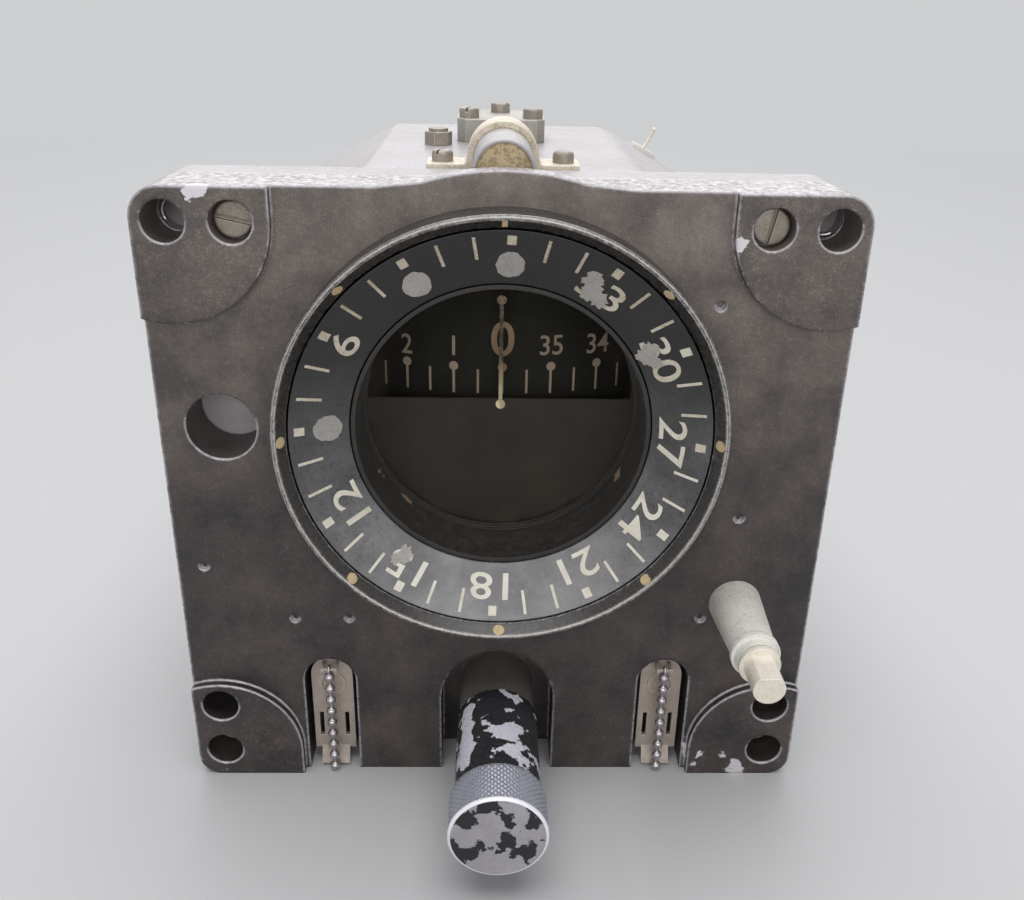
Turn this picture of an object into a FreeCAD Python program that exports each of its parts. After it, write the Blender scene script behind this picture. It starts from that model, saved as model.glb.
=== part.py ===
"""Panel-mounted directional gyro with a turning heading dial and a push-and-turn caging knob.

Units are millimetres. The origin is the centre of the dial in the plane of the front
casting's face. +Z is up, the face looks along -Y, and the case stands on its flat base.
"""
import FreeCAD, Part
import math
import os

import Sketcher
from FreeCAD import Placement, Rotation, Vector

os.makedirs("parts", exist_ok=True)
doc = FreeCAD.newDocument("directional_gyro")
sheet = doc.addObject("Spreadsheet::Sheet", "Sizes")


class Size:
    """A number together with the sheet expression that gives it."""

    def __init__(self, text, value):
        self.text = text
        self.value = value

    def __float__(self):
        return self.value

    def __neg__(self):
        return Size(f"(-{self.text})", -self.value)

    def __add__(self, other):
        other = size(other)
        return Size(f"({self.text} + {other.text})", self.value + other.value)

    def __sub__(self, other):
        other = size(other)
        return Size(f"({self.text} - {other.text})", self.value - other.value)

    def __mul__(self, other):
        other = size(other)
        return Size(f"({self.text} * {other.text})", self.value * other.value)

    def __truediv__(self, other):
        other = size(other)
        return Size(f"({self.text} / {other.text})", self.value / other.value)

    def __radd__(self, other):
        return size(other) + self

    def __rsub__(self, other):
        return size(other) - self

    def __rmul__(self, other):
        return size(other) * self


def size(value):
    if isinstance(value, Size):
        return value
    if value < 0:
        return -Size(str(-value), float(-value))
    return Size(str(value), float(value))


def root(value):
    return Size(f"sqrt({value.text})", math.sqrt(value.value))


def cosine(degrees):
    return Size(f"cos({degrees.text})", math.cos(math.radians(degrees.value)))


def sine(degrees):
    return Size(f"sin({degrees.text})", math.sin(math.radians(degrees.value)))


def chord(radius, offset):
    """Half the chord that a line at this offset from the centre cuts from a circle."""
    return root(radius * radius - offset * offset)


sheet_rows = []


def cell(alias, value):
    """Write one driving dimension on the sheet and give it back as a Size."""
    sheet_rows.append(alias)
    row = len(sheet_rows)
    sheet.set(f"A{row}", alias)
    sheet.set(f"B{row}", str(value))
    sheet.setAlias(f"B{row}", alias)
    return Size(f"Sizes.{alias}", float(value))


# Front casting: outline, rims and pads
casting_width = cell("casting_width", 136.0)
casting_top = cell("casting_top", 47.5)
casting_drop = cell("casting_drop", 86.0)
casting_depth = cell("casting_depth", 13.0)
front_web = cell("front_web", 5.0)
top_corner = cell("top_corner", 6.0)
bottom_corner = cell("bottom_corner", 5.0)
brow_radius = cell("brow_radius", 50.7)
brow_depth = cell("brow_depth", 4.0)
brow_reach = cell("brow_reach", 24.0)
brow_crown = cell("brow_crown", 15.0)
pad_height = cell("pad_height", 2.0)
top_pad_radius = cell("top_pad_radius", 19.3)
bottom_pad_radius = cell("bottom_pad_radius", 17.6)

# Panel bolts, the screws beside them and the plain side hole
bolt_spacing_x = cell("bolt_spacing_x", 123.8)
bolt_spacing_z = cell("bolt_spacing_z", 107.95)
bolt_rise = cell("bolt_rise", 41.1)
bolt_hole_radius = cell("bolt_hole_radius", 4.0)
lower_hole_drop = cell("lower_hole_drop", 12.1)
screw_spacing_x = cell("screw_spacing_x", 99.4)
screw_seat_depth = cell("screw_seat_depth", 3.0)
lower_seat_depth = cell("lower_seat_depth", 8.0)
clip_radius = cell("clip_radius", 5.5)
clip_depth = cell("clip_depth", 4.0)
side_hole_radius = cell("side_hole_radius", 7.0)
side_hole_offset = cell("side_hole_offset", 55.7)
dimple_radius = cell("dimple_radius", 0.95)
dimple_depth = cell("dimple_depth", 0.7)

# Open niches along the bottom edge
niche_depth = cell("niche_depth", 10.0)
slot_width = cell("slot_width", 11.5)
slot_offset = cell("slot_offset", 37.4)
slot_height = cell("slot_height", 30.5)
arch_width = cell("arch_width", 25.4)
arch_height = cell("arch_height", 32.4)

# Bezel, heading dial and its gear train
bezel_radius = cell("bezel_radius", 44.45)
bezel_height = cell("bezel_height", 8.7)
bezel_spigot_radius = cell("bezel_spigot_radius", 43.0)
bezel_spigot_depth = cell("bezel_spigot_depth", 1.5)
dial_radius = cell("dial_radius", 41.3)
dial_edge_height = cell("dial_edge_height", 6.3)
dial_eye_radius = cell("dial_eye_radius", 30.2)
dial_eye_height = cell("dial_eye_height", 1.0)
dial_wall = cell("dial_wall", 1.5)
dial_gap = cell("dial_gap", 0.45)
running_gap = cell("running_gap", 0.05)
end_gap = cell("end_gap", 0.3)
gear_face = cell("gear_face", 3.0)
tooth_module = cell("tooth_module", 1.0)
tooth_play = cell("tooth_play", 0.12)
dial_teeth = cell("dial_teeth", 88)
idler_teeth = cell("idler_teeth", 16)
pinion_teeth = cell("pinion_teeth", 11)
gear_line_angle = cell("gear_line_angle", -38.25)
idler_pin_radius = cell("idler_pin_radius", 1.5)
shaft_radius = cell("shaft_radius", 3.175)
shaft_reach = cell("shaft_reach", 30.5)
shaft_flat = cell("shaft_flat", 2.5)
housing_root_radius = cell("housing_root_radius", 5.65)
housing_tip_radius = cell("housing_tip_radius", 4.5)
housing_length = cell("housing_length", 20.0)

# Window: tube, glass, mask and lubber line
window_radius = cell("window_radius", 29.0)
window_wall = cell("window_wall", 0.9)
window_lip = cell("window_lip", 0.8)
glass_seat_radius = cell("glass_seat_radius", 30.2)
glass_depth = cell("glass_depth", 12.5)
glass_thickness = cell("glass_thickness", 2.0)
gasket_thickness = cell("gasket_thickness", 0.4)
mask_thickness = cell("mask_thickness", 0.7)
mask_edge = cell("mask_edge", 0.8)
retainer_thickness = cell("retainer_thickness", 1.1)
lubber_width = cell("lubber_width", 0.8)
lubber_thickness = cell("lubber_thickness", 0.3)
lubber_height = cell("lubber_height", 22.5)
ear_radius = cell("ear_radius", 4.5)
ear_distance = cell("ear_distance", 48.8)

# Case and rear cover
flange_depth = cell("flange_depth", 9.0)
wall = cell("wall", 2.5)
case_width = cell("case_width", 128.0)
case_top = cell("case_top", 47.0)
case_crown = cell("case_crown", 28.0)
case_shoulder = cell("case_shoulder", 27.8)
case_length = cell("case_length", 103.0)
cover_length = cell("cover_length", 39.0)
cover_half_width = cell("cover_half_width", 34.0)
cover_top = cell("cover_top", 34.0)
cover_crown = cell("cover_crown", 20.0)
cover_shoulder = cell("cover_shoulder", 22.0)
cover_lift = cell("cover_lift", 8.0)
lip_length = cell("lip_length", 5.0)

# Gyro: axis, card, rings and rotor
gyro_depth = cell("gyro_depth", 78.0)
gyro_drop = cell("gyro_drop", 22.5)
card_radius = cell("card_radius", 60.0)
card_wall = cell("card_wall", 1.2)
card_top = cell("card_top", 23.5)
card_height = cell("card_height", 27.0)
ring_radius = cell("ring_radius", 44.0)
ring_wall = cell("ring_wall", 5.0)
ring_width = cell("ring_width", 12.0)
shell_radius = cell("shell_radius", 30.0)
shell_wall = cell("shell_wall", 2.0)
shell_width = cell("shell_width", 30.0)
rotor_radius = cell("rotor_radius", 26.0)
rotor_width = cell("rotor_width", 22.0)
bucket_count = cell("bucket_count", 20)
pivot_radius = cell("pivot_radius", 2.5)
lower_pivot_radius = cell("lower_pivot_radius", 4.0)
azimuth_radius = cell("azimuth_radius", 34.0)
azimuth_teeth = cell("azimuth_teeth", 60)

# Caging gear
knob_drop = cell("knob_drop", 69.0)
knob_radius = cell("knob_radius", 8.85)
knob_start = cell("knob_start", 4.2)
knurl_radius = cell("knurl_radius", 9.9)
knurl_length = cell("knurl_length", 10.0)
knob_reach = cell("knob_reach", 39.2)
bush_radius = cell("bush_radius", 8.4)
bush_reach = cell("bush_reach", 10.0)
rod_radius = cell("rod_radius", 3.0)
caging_travel = cell("caging_travel", 6.0)
caging_pinion_tip = cell("caging_pinion_tip", 5.5)
plunger_radius = cell("plunger_radius", 1.5)
plunger_lift = cell("plunger_lift", 1.2)

# Lamp carriers with their ball chains
carrier_width = cell("carrier_width", 9.3)
carrier_thickness = cell("carrier_thickness", 1.2)
carrier_recess = cell("carrier_recess", 2.4)
carrier_top_gap = cell("carrier_top_gap", 1.2)
bead_radius = cell("bead_radius", 1.15)
bead_pitch = cell("bead_pitch", 3.1)
bead_count = cell("bead_count", 9)
hook_radius = cell("hook_radius", 0.35)
hook_drop = cell("hook_drop", 1.2)
chain_stand_off = cell("chain_stand_off", 0.7)
bulb_radius = cell("bulb_radius", 3.0)
bulb_depth = cell("bulb_depth", 6.8)

# Fittings on the top
spout_radius = cell("spout_radius", 6.0)
spout_rise = cell("spout_rise", 2.4)
spout_start = cell("spout_start", 6.0)
spout_length = cell("spout_length", 33.0)
spout_gap = cell("spout_gap", 1.0)
strap_thickness = cell("strap_thickness", 1.3)
strap_width = cell("strap_width", 9.0)
strap_span = cell("strap_span", 31.0)
strap_screw_spacing = cell("strap_screw_spacing", 24.8)
block_width = cell("block_width", 21.0)
block_depth = cell("block_depth", 24.0)
block_height = cell("block_height", 5.4)
fastener_radius = cell("fastener_radius", 2.1)

doc.recompute()

zero = size(0)
half_width = casting_width / 2
base = -casting_drop
bolt_x = bolt_spacing_x / 2
bolt_low = bolt_rise - bolt_spacing_z
slot_top = slot_height - casting_drop
arch_top = arch_height - casting_drop
dial_bore = dial_radius + running_gap
flange_rear = casting_depth + flange_depth
case_half = case_width / 2
cover_rear = case_length + cover_length
gyro_centre = -gyro_drop
knob_axis = -knob_drop
gear_start = front_web + end_gap
gear_end = gear_start + gear_face
dial_pitch = tooth_module * dial_teeth / 2
idler_pitch = tooth_module * idler_teeth / 2
pinion_pitch = tooth_module * pinion_teeth / 2
tooth_rise = tooth_module * 0.8
gear_cavity = dial_pitch + tooth_rise + 0.6
idler_distance = dial_pitch + idler_pitch
shaft_distance = idler_distance + idler_pitch + pinion_pitch
idler_x = idler_distance * cosine(gear_line_angle)
idler_z = idler_distance * sine(gear_line_angle)
shaft_x = shaft_distance * cosine(gear_line_angle)
shaft_z = shaft_distance * sine(gear_line_angle)
yoke_toe = plunger_radius + 1
ear_angles = [size(angle) for angle in (50, 130, 235, 305)]
ears = [(ear_distance * cosine(angle), ear_distance * sine(angle)) for angle in ear_angles]


class Arc:
    """The edge that leaves a corner as an arc about a centre, turning +1 (left) or -1."""

    def __init__(self, radius, x, y, turn=1):
        self.radius = size(radius)
        self.x = size(x)
        self.y = size(y)
        self.turn = turn


def pin(sketch, geometry, point, kind, amount):
    """Tie one coordinate of a sketch point to the sheet."""
    amount = size(amount)
    if amount.text == "0":
        axis = -2 if kind == "DistanceX" else -1
        sketch.addConstraint(Sketcher.Constraint("PointOnObject", geometry, point, axis))
    else:
        rule = Sketcher.Constraint(kind, -1, 1, geometry, point, amount.value)
        index = sketch.addConstraint(rule)
        sketch.setExpression(f"Constraints[{index}]", amount.text)


def pin_point(sketch, geometry, point, x, y):
    pin(sketch, geometry, point, "DistanceX", x)
    pin(sketch, geometry, point, "DistanceY", y)


def circle(x, y, radius):
    def draw(sketch):
        centre = Vector(float(x), float(y), 0)
        geometry = sketch.addGeometry(Part.Circle(centre, Vector(0, 0, 1), float(radius)))
        pin_point(sketch, geometry, 3, x, y)
        index = sketch.addConstraint(Sketcher.Constraint("Radius", geometry, float(radius)))
        sketch.setExpression(f"Constraints[{index}]", size(radius).text)
    return draw


def edge_between(corner, following):
    """One edge of a loop, and which of its ends is the corner it leaves."""
    start = Vector(float(corner[0]), float(corner[1]), 0)
    end = Vector(float(following[0]), float(following[1]), 0)
    if len(corner) == 2:
        return Part.LineSegment(start, end), 1
    arc = corner[2]
    centre = Vector(float(arc.x), float(arc.y), 0)
    first, last = (start, end) if arc.turn > 0 else (end, start)
    ring = Part.Circle(centre, Vector(0, 0, 1), float(arc.radius))
    from_angle = math.atan2(first.y - centre.y, first.x - centre.x)
    to_angle = math.atan2(last.y - centre.y, last.x - centre.x)
    if to_angle <= from_angle:
        to_angle += 2 * math.pi
    return Part.ArcOfCircle(ring, from_angle, to_angle), 1 if arc.turn > 0 else 2


def loop(*corners):
    """A closed outline. A corner is (x, y), or (x, y, Arc) where the next edge is round."""
    def draw(sketch):
        first = sketch.GeometryCount
        count = len(corners)
        ends = []
        for index, corner in enumerate(corners):
            edge, leaving = edge_between(corner, corners[(index + 1) % count])
            sketch.addGeometry(edge)
            ends.append(leaving)
        for index in range(count):
            following = (index + 1) % count
            joint = Sketcher.Constraint(
                "Coincident", first + index, 3 - ends[index], first + following, ends[following])
            sketch.addConstraint(joint)
        for index, corner in enumerate(corners):
            pin_point(sketch, first + index, ends[index], corner[0], corner[1])
            if len(corner) == 3:
                arc = corner[2]
                following = corners[(index + 1) % count]
                across = abs(float(following[0]) - float(corner[0]))
                upward = abs(float(following[1]) - float(corner[1]))
                if across > upward:
                    pin(sketch, first + index, 3, "DistanceY", arc.y)
                else:
                    pin(sketch, first + index, 3, "DistanceX", arc.x)
    return draw


def box(x0, x1, y0, y1):
    return loop((x0, y0), (x1, y0), (x1, y1), (x0, y1))


def rounded_plate(half, top, bottom, top_round, bottom_round):
    """The outline of the front: an upright plate with its corners rounded."""
    return loop(
        (half - top_round, top, Arc(top_round, half - top_round, top - top_round, -1)),
        (half, top - top_round),
        (half, bottom + bottom_round,
         Arc(bottom_round, half - bottom_round, bottom + bottom_round, -1)),
        (half - bottom_round, bottom),
        (bottom_round - half, bottom,
         Arc(bottom_round, bottom_round - half, bottom + bottom_round, -1)),
        (-half, bottom + bottom_round),
        (-half, top - top_round, Arc(top_round, top_round - half, top - top_round, -1)),
        (top_round - half, top))


def arched(x, half, bottom, top):
    """A doorway outline: straight sides with a half-round top."""
    return loop(
        (x + half, bottom),
        (x + half, top - half, Arc(half, x, top - half, 1)),
        (x - half, top - half),
        (x - half, bottom))


sub_parts = []


def keep(sub_part, label):
    """Name a finished sub-part's object after its node."""
    sub_part.Label = label
    sub_parts.append(sub_part)
    return sub_part


class Piece:
    """A sub-part made of sketches and features on its own origin planes."""

    planes = {"X": ("YZ_Plane", 1), "Y": ("XZ_Plane", -1), "Z": ("XY_Plane", 1)}

    def __init__(self, label, x=zero, y=zero, z=zero):
        self.body = doc.addObject("PartDesign::Body", label)
        keep(self.body, label)
        for axis, amount in (("x", x), ("y", y), ("z", z)):
            if amount.text != "0":
                self.body.setExpression(f"Placement.Base.{axis}", amount.text)

    def origin(self, role):
        return next(item for item in self.body.Origin.OriginFeatures if item.Role == role)

    def sketch(self, axis, at, shapes):
        """Draw shapes on the plane across an axis, at a distance along that axis."""
        role, normal = self.planes[axis]
        sketch = self.body.newObject("Sketcher::SketchObject", f"{self.body.Name}_sketch")
        sketch.AttachmentSupport = (self.origin(role), [""])
        sketch.MapMode = "FlatFace"
        if at.text != "0":
            offset = at if normal > 0 else -at
            sketch.setExpression("AttachmentOffset.Base.z", offset.text)
        for shape in shapes:
            shape(sketch)
        return sketch

    def check(self, before, more):
        """A feature that adds must add, and one that cuts must cut."""
        doc.recompute()
        after = self.body.Shape.Volume
        if (after > before + 1e-6) != more:
            raise ValueError(f"{self.body.Label}: volume went from {before} to {after}")

    def volume(self):
        shape = self.body.Shape
        return 0.0 if shape.isNull() else shape.Volume

    def add(self, axis, start, end, *shapes):
        """Pad shapes from start to end along an axis."""
        start, end = size(start), size(end)
        before = self.volume()
        pad = self.body.newObject("PartDesign::Pad", f"{self.body.Name}_pad")
        pad.Profile = self.sketch(axis, start, shapes)
        pad.setExpression("Length", (end - start).text)
        pad.Reversed = self.planes[axis][1] < 0
        self.body.Tip = pad
        self.check(before, True)
        return pad

    def cut(self, axis, start, end, *shapes):
        """Pocket shapes from start to end along an axis."""
        start, end = size(start), size(end)
        before = self.volume()
        pocket = self.body.newObject("PartDesign::Pocket", f"{self.body.Name}_pocket")
        pocket.Profile = self.sketch(axis, start, shapes)
        pocket.setExpression("Length", (end - start).text)
        pocket.Reversed = self.planes[axis][1] > 0
        self.body.Tip = pocket
        self.check(before, False)
        return pocket

    def turn(self, axis, *corners, groove=False):
        """Revolve a profile of (distance along the axis, radius) corners."""
        plane, line = {"X": ("Z", "H_Axis"), "Y": ("X", "H_Axis"), "Z": ("Y", "V_Axis")}[axis]
        if axis == "Z":
            corners = [(radius, along) for along, radius in corners]
        before = self.volume()
        kind = "PartDesign::Groove" if groove else "PartDesign::Revolution"
        turned = self.body.newObject(kind, f"{self.body.Name}_turned")
        turned.Profile = self.sketch(plane, zero, [loop(*corners)])
        turned.ReferenceAxis = (turned.Profile[0], [line])
        turned.Angle = 360
        self.body.Tip = turned
        self.check(before, not groove)
        return turned

    def repeat(self, feature, axis, count):
        """Repeat a feature around an origin axis."""
        before = self.volume()
        pattern = self.body.newObject("PartDesign::PolarPattern", f"{self.body.Name}_pattern")
        pattern.Originals = [feature]
        pattern.Axis = (self.origin(f"{axis}_Axis"), [""])
        pattern.Angle = 360
        pattern.setExpression("Occurrences", count.text)
        self.body.Tip = pattern
        self.check(before, feature.TypeId == "PartDesign::Pad")
        return pattern

    def soften(self, radius, chosen, chamfer=False):
        """Fillet or chamfer the edges that the chosen test picks."""
        tip = self.body.Tip
        names = [f"Edge{index}" for index, edge in enumerate(tip.Shape.Edges, 1) if chosen(edge)]
        if not names:
            raise ValueError(f"{self.body.Label}: no edge to soften")
        kind = "PartDesign::Chamfer" if chamfer else "PartDesign::Fillet"
        feature = self.body.newObject(kind, f"{self.body.Name}_soft")
        feature.Base = (tip, names)
        feature.setExpression("Size" if chamfer else "Radius", size(radius).text)
        self.body.Tip = feature
        doc.recompute()
        return feature


def made_from_shape(label, shape, x=0.0, y=0.0, z=0.0):
    """A sub-part whose form is a formula, such as gear teeth or a group of screws."""
    feature = doc.addObject("Part::Feature", label)
    feature.Shape = shape
    feature.Placement = Placement(Vector(x, y, z), Rotation())
    return keep(feature, label)


def gear_profile(teeth, phase):
    """Corner points of a spur gear with involute flanks, one tooth centred on the phase."""
    module = float(tooth_module)
    pressure = math.radians(25)
    pitch_radius = module * teeth / 2
    base_radius = pitch_radius * math.cos(pressure)
    root_radius = pitch_radius - module
    tip_radius = pitch_radius + float(tooth_rise)
    half_tooth = (math.pi * module / 2 - float(tooth_play)) / (2 * pitch_radius)
    rolled = math.tan(pressure) - pressure

    def flank(radius):
        angle = math.acos(min(1.0, base_radius / radius))
        return half_tooth + rolled - (math.tan(angle) - angle)

    radii = [root_radius, max(base_radius, root_radius + 0.1), pitch_radius, tip_radius]
    points = []
    for tooth in range(teeth):
        middle = phase + 2 * math.pi * tooth / teeth
        sides = [(radius, flank(max(radius, base_radius))) for radius in radii]
        for radius, spread in sides:
            points.append((radius, middle - spread))
        for radius, spread in reversed(sides):
            points.append((radius, middle + spread))
    return [Vector(r * math.cos(a), 0, r * math.sin(a)) for r, a in points]


def spur_gear(label, teeth, bore, phase, x, y, z, face):
    corners = gear_profile(int(float(teeth)), phase)
    outline = Part.Face(Part.makePolygon(corners + corners[:1]))
    blank = outline.extrude(Vector(0, float(face), 0))
    hole = Part.makeCylinder(float(bore), float(face), Vector(0, 0, 0), Vector(0, 1, 0))
    return made_from_shape(label, blank.cut(hole), float(x), float(y), float(z))


def screw_shape(head_radius, head_height, shank_radius, shank_length, crown=0.0, slot=0.0):
    """A slotted screw standing on Z = 0, its shank below and its head above."""
    head = Part.makeCylinder(head_radius, head_height)
    if crown:
        top = [edge for edge in head.Edges if edge.BoundBox.ZMin > head_height - 1e-6]
        head = head.makeFillet(crown, [edge for edge in top if edge.Length > head_radius])
    if slot:
        across = Part.makeBox(3 * head_radius, slot, head_height)
        across.translate(Vector(-1.5 * head_radius, -slot / 2, head_height * 0.55))
        head = head.cut(across)
    shank = Part.makeCylinder(shank_radius, shank_length, Vector(0, 0, -shank_length))
    return head.fuse(shank).removeSplitter()


def screws(label, shape, places, direction=Vector(0, 0, 1), turns=None):
    """One node holding several equal screws as separate solids."""
    solids = []
    for index, place in enumerate(places):
        way = direction[index] if isinstance(direction, list) else direction
        spin = Rotation(Vector(0, 0, 1), turns[index] if turns else 0)
        solid = shape.copy()
        solid.Placement = Placement(Vector(*[float(amount) for amount in place]),
                                    Rotation(Vector(0, 0, 1), way) * spin)
        solids.append(solid)
    return made_from_shape(label, Part.makeCompound(solids))


def front_casting():
    piece = Piece("front_casting")
    piece.add("Y", zero, casting_depth,
              rounded_plate(half_width, casting_top, base, top_corner, bottom_corner))
    crown_z = chord(brow_radius, brow_crown)
    piece.add("Y", zero, brow_depth, loop(
        (-brow_reach, casting_top - 2),
        (brow_reach, casting_top - 2),
        (brow_reach, casting_top),
        (brow_crown, crown_z, Arc(brow_radius, 0, 0, 1)),
        (-brow_crown, crown_z),
        (-brow_reach, casting_top)))
    pad_low = bolt_rise - chord(top_pad_radius, half_width - bolt_x)
    lower_hole = bolt_low - lower_hole_drop
    pad_high = lower_hole + chord(bottom_pad_radius, half_width - bolt_x)
    for side in (1, -1):
        outer, hole = half_width * side, bolt_x * side
        piece.add("Y", -pad_height, zero, loop(
            (outer, pad_low, Arc(top_pad_radius, hole, bolt_rise, -side)),
            (hole - top_pad_radius * side, bolt_rise),
            (hole - top_pad_radius * side, casting_top),
            (outer - top_corner * side, casting_top,
             Arc(top_corner, outer - top_corner * side, casting_top - top_corner, -side)),
            (outer, casting_top - top_corner)))
        piece.add("Y", -pad_height, zero, loop(
            (outer, pad_high, Arc(bottom_pad_radius, hole, lower_hole, side)),
            (hole - bottom_pad_radius * side, lower_hole),
            (hole - bottom_pad_radius * side, base),
            (outer - bottom_corner * side, base,
             Arc(bottom_corner, outer - bottom_corner * side, base + bottom_corner, side)),
            (outer, base + bottom_corner)))
    piece.cut("Y", zero, casting_depth, circle(0, 0, dial_bore))
    piece.cut("Y", zero, bezel_spigot_depth, circle(0, 0, bezel_spigot_radius))
    piece.cut("Y", front_web, casting_depth, circle(0, 0, gear_cavity))
    piece.cut("Y", front_web, casting_depth,
              circle(idler_x, idler_z, idler_pitch + tooth_rise + 0.5))
    piece.cut("Y", front_web, casting_depth,
              circle(shaft_x, shaft_z, pinion_pitch + tooth_rise + 0.5))
    piece.cut("Y", zero, front_web, circle(shaft_x, shaft_z, housing_root_radius - 0.65))
    piece.cut("Y", front_web - 3.5, front_web, circle(idler_x, idler_z, idler_pin_radius))
    piece.cut("Y", casting_depth - 3, casting_depth,
              *[circle(x, z, ear_radius + 0.2) for x, z in ears])
    piece.cut("Y", casting_depth - 9, casting_depth - 3, *[circle(x, z, size(1.2)) for x, z in ears])
    side_hole = circle(-side_hole_offset, 0, side_hole_radius)
    piece.cut("Y", zero, casting_depth, side_hole)
    slot_half = slot_width / 2
    for side in (1, -1):
        piece.cut("Y", zero, niche_depth, arched(slot_offset * side, slot_half, base, slot_top))
        piece.cut("Z", slot_top - slot_half, slot_top + 27,
                  circle(slot_offset * side, bulb_depth, bulb_radius + 0.8))
    piece.cut("Y", zero, niche_depth, arched(zero, arch_width / 2, base, arch_top))
    piece.cut("Y", niche_depth, casting_depth, circle(0, knob_axis, size(6)))
    holes = [(side * bolt_x, z) for side in (1, -1) for z in (bolt_rise, bolt_low)]
    piece.cut("Y", -pad_height, casting_depth, *[circle(x, z, bolt_hole_radius) for x, z in holes])
    piece.cut("Y", casting_depth - clip_depth, casting_depth,
              *[circle(x, z, clip_radius) for x, z in holes])
    dimples = ((41.7, 26.0), (50.2, -19.7), (44.3, -44.5), (-44.1, -44.9), (-32.4, -44.8), (-62.4, -32.0))
    piece.cut("Y", zero, dimple_depth, *[circle(size(x), size(z), dimple_radius) for x, z in dimples])
    for place, seat in screw_seats():
        piece.cut("Y", -pad_height, seat, circle(*place, bolt_hole_radius))
        piece.cut("Y", seat, casting_depth, circle(*place, fastener_radius))


def screw_seats():
    """Where the screws join the casting to the case, and how deep their heads sit."""
    seats = []
    for side in (1, -1):
        seats.append(((side * screw_spacing_x / 2, bolt_rise), screw_seat_depth))
        seats.append(((side * bolt_x, bolt_low - lower_hole_drop), lower_seat_depth))
    return seats


def bezel_ring():
    bore = dial_radius + dial_gap
    Piece("bezel_ring").turn(
        "Y",
        (bezel_spigot_depth, bore),
        (bezel_spigot_depth, bezel_spigot_radius),
        (zero, bezel_spigot_radius),
        (zero, bezel_radius),
        (-bezel_height + 0.5, bezel_radius),
        (-bezel_height, bezel_radius - 0.4),
        (-bezel_height, bezel_radius - 0.9),
        (-dial_edge_height, bore))


def heading_dial():
    skirt_bore = dial_radius - dial_wall
    slope = (dial_edge_height - dial_eye_height) / (dial_radius - dial_eye_radius)
    Piece("heading_dial").turn(
        "Y",
        (-dial_edge_height, dial_radius),
        (-dial_eye_height, dial_eye_radius),
        (-dial_eye_height + dial_wall, dial_eye_radius),
        (-dial_edge_height + dial_wall + slope * dial_wall, skirt_bore),
        (gear_end + 0.7, skirt_bore),
        (gear_end + 0.7, dial_radius))


def window_frame():
    """The fixed tube that the dial turns round, with a web behind the dial and four ears."""
    rear = casting_depth
    tube_end = glass_depth + gasket_thickness + glass_thickness + lubber_thickness
    tube_end = tube_end + mask_thickness + retainer_thickness
    outer = gear_cavity - 0.1
    piece = Piece("window_frame")
    tube = window_radius + window_wall
    piece.turn(
        "Y",
        (-dial_eye_height, window_radius),
        (glass_depth - 1, window_radius),
        (glass_depth - 1, window_radius - window_lip),
        (glass_depth, window_radius - window_lip),
        (glass_depth, glass_seat_radius),
        (tube_end, glass_seat_radius),
        (tube_end, glass_seat_radius + 2.3),
        (rear, glass_seat_radius + 2.3),
        (rear, outer),
        (gear_end + end_gap, outer),
        (gear_end + end_gap, outer - 2.3),
        (rear - 3, outer - 2.3),
        (rear - 3, tube + 1.6),
        (glass_depth - 1.5, tube + 1.6),
        (glass_depth - 1.5, tube),
        (-dial_eye_height, tube))
    piece.add("Y", rear - 3, rear, *[circle(x, z, ear_radius) for x, z in ears[:1]])
    for x, z in ears[1:]:
        piece.add("Y", rear - 3, rear, circle(x, z, ear_radius))
    piece.cut("Y", rear - 3, rear, *[circle(x, z, size(1.4)) for x, z in ears])


def window_parts():
    """Gasket, glass, mask, lubber line and the ring that holds them in the tube."""
    pane = glass_seat_radius - 0.1
    lip = window_radius - window_lip
    glass_start = glass_depth + gasket_thickness
    glass_end = glass_start + glass_thickness
    mask_start = glass_end + lubber_thickness
    mask_end = mask_start + mask_thickness
    Piece("glass_gasket").add("Y", glass_depth, glass_start, circle(0, 0, pane), circle(0, 0, lip))
    Piece("window_glass").add("Y", glass_start, glass_end, circle(0, 0, pane))
    mask = Piece("mask_plate")
    mask.add("Y", mask_start, mask_end, circle(0, 0, pane))
    reach = chord(lip, mask_edge)
    mask.cut("Y", mask_start, mask_end, loop(
        (reach, mask_edge, Arc(lip, 0, 0, 1)),
        (-reach, mask_edge)))
    lubber = Piece("lubber_line")
    half = lubber_width / 2
    lubber.add("Y", glass_end, mask_start, box(-half, half, mask_edge - 2, lubber_height))
    for height in (mask_edge - 1.2, lubber_height):
        lubber.add("Y", glass_end, mask_start, circle(0, height, lubber_width + 0.2))
    Piece("glass_retainer").add(
        "Y", mask_end, mask_end + retainer_thickness,
        circle(0, 0, glass_seat_radius), circle(0, 0, lip))


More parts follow.
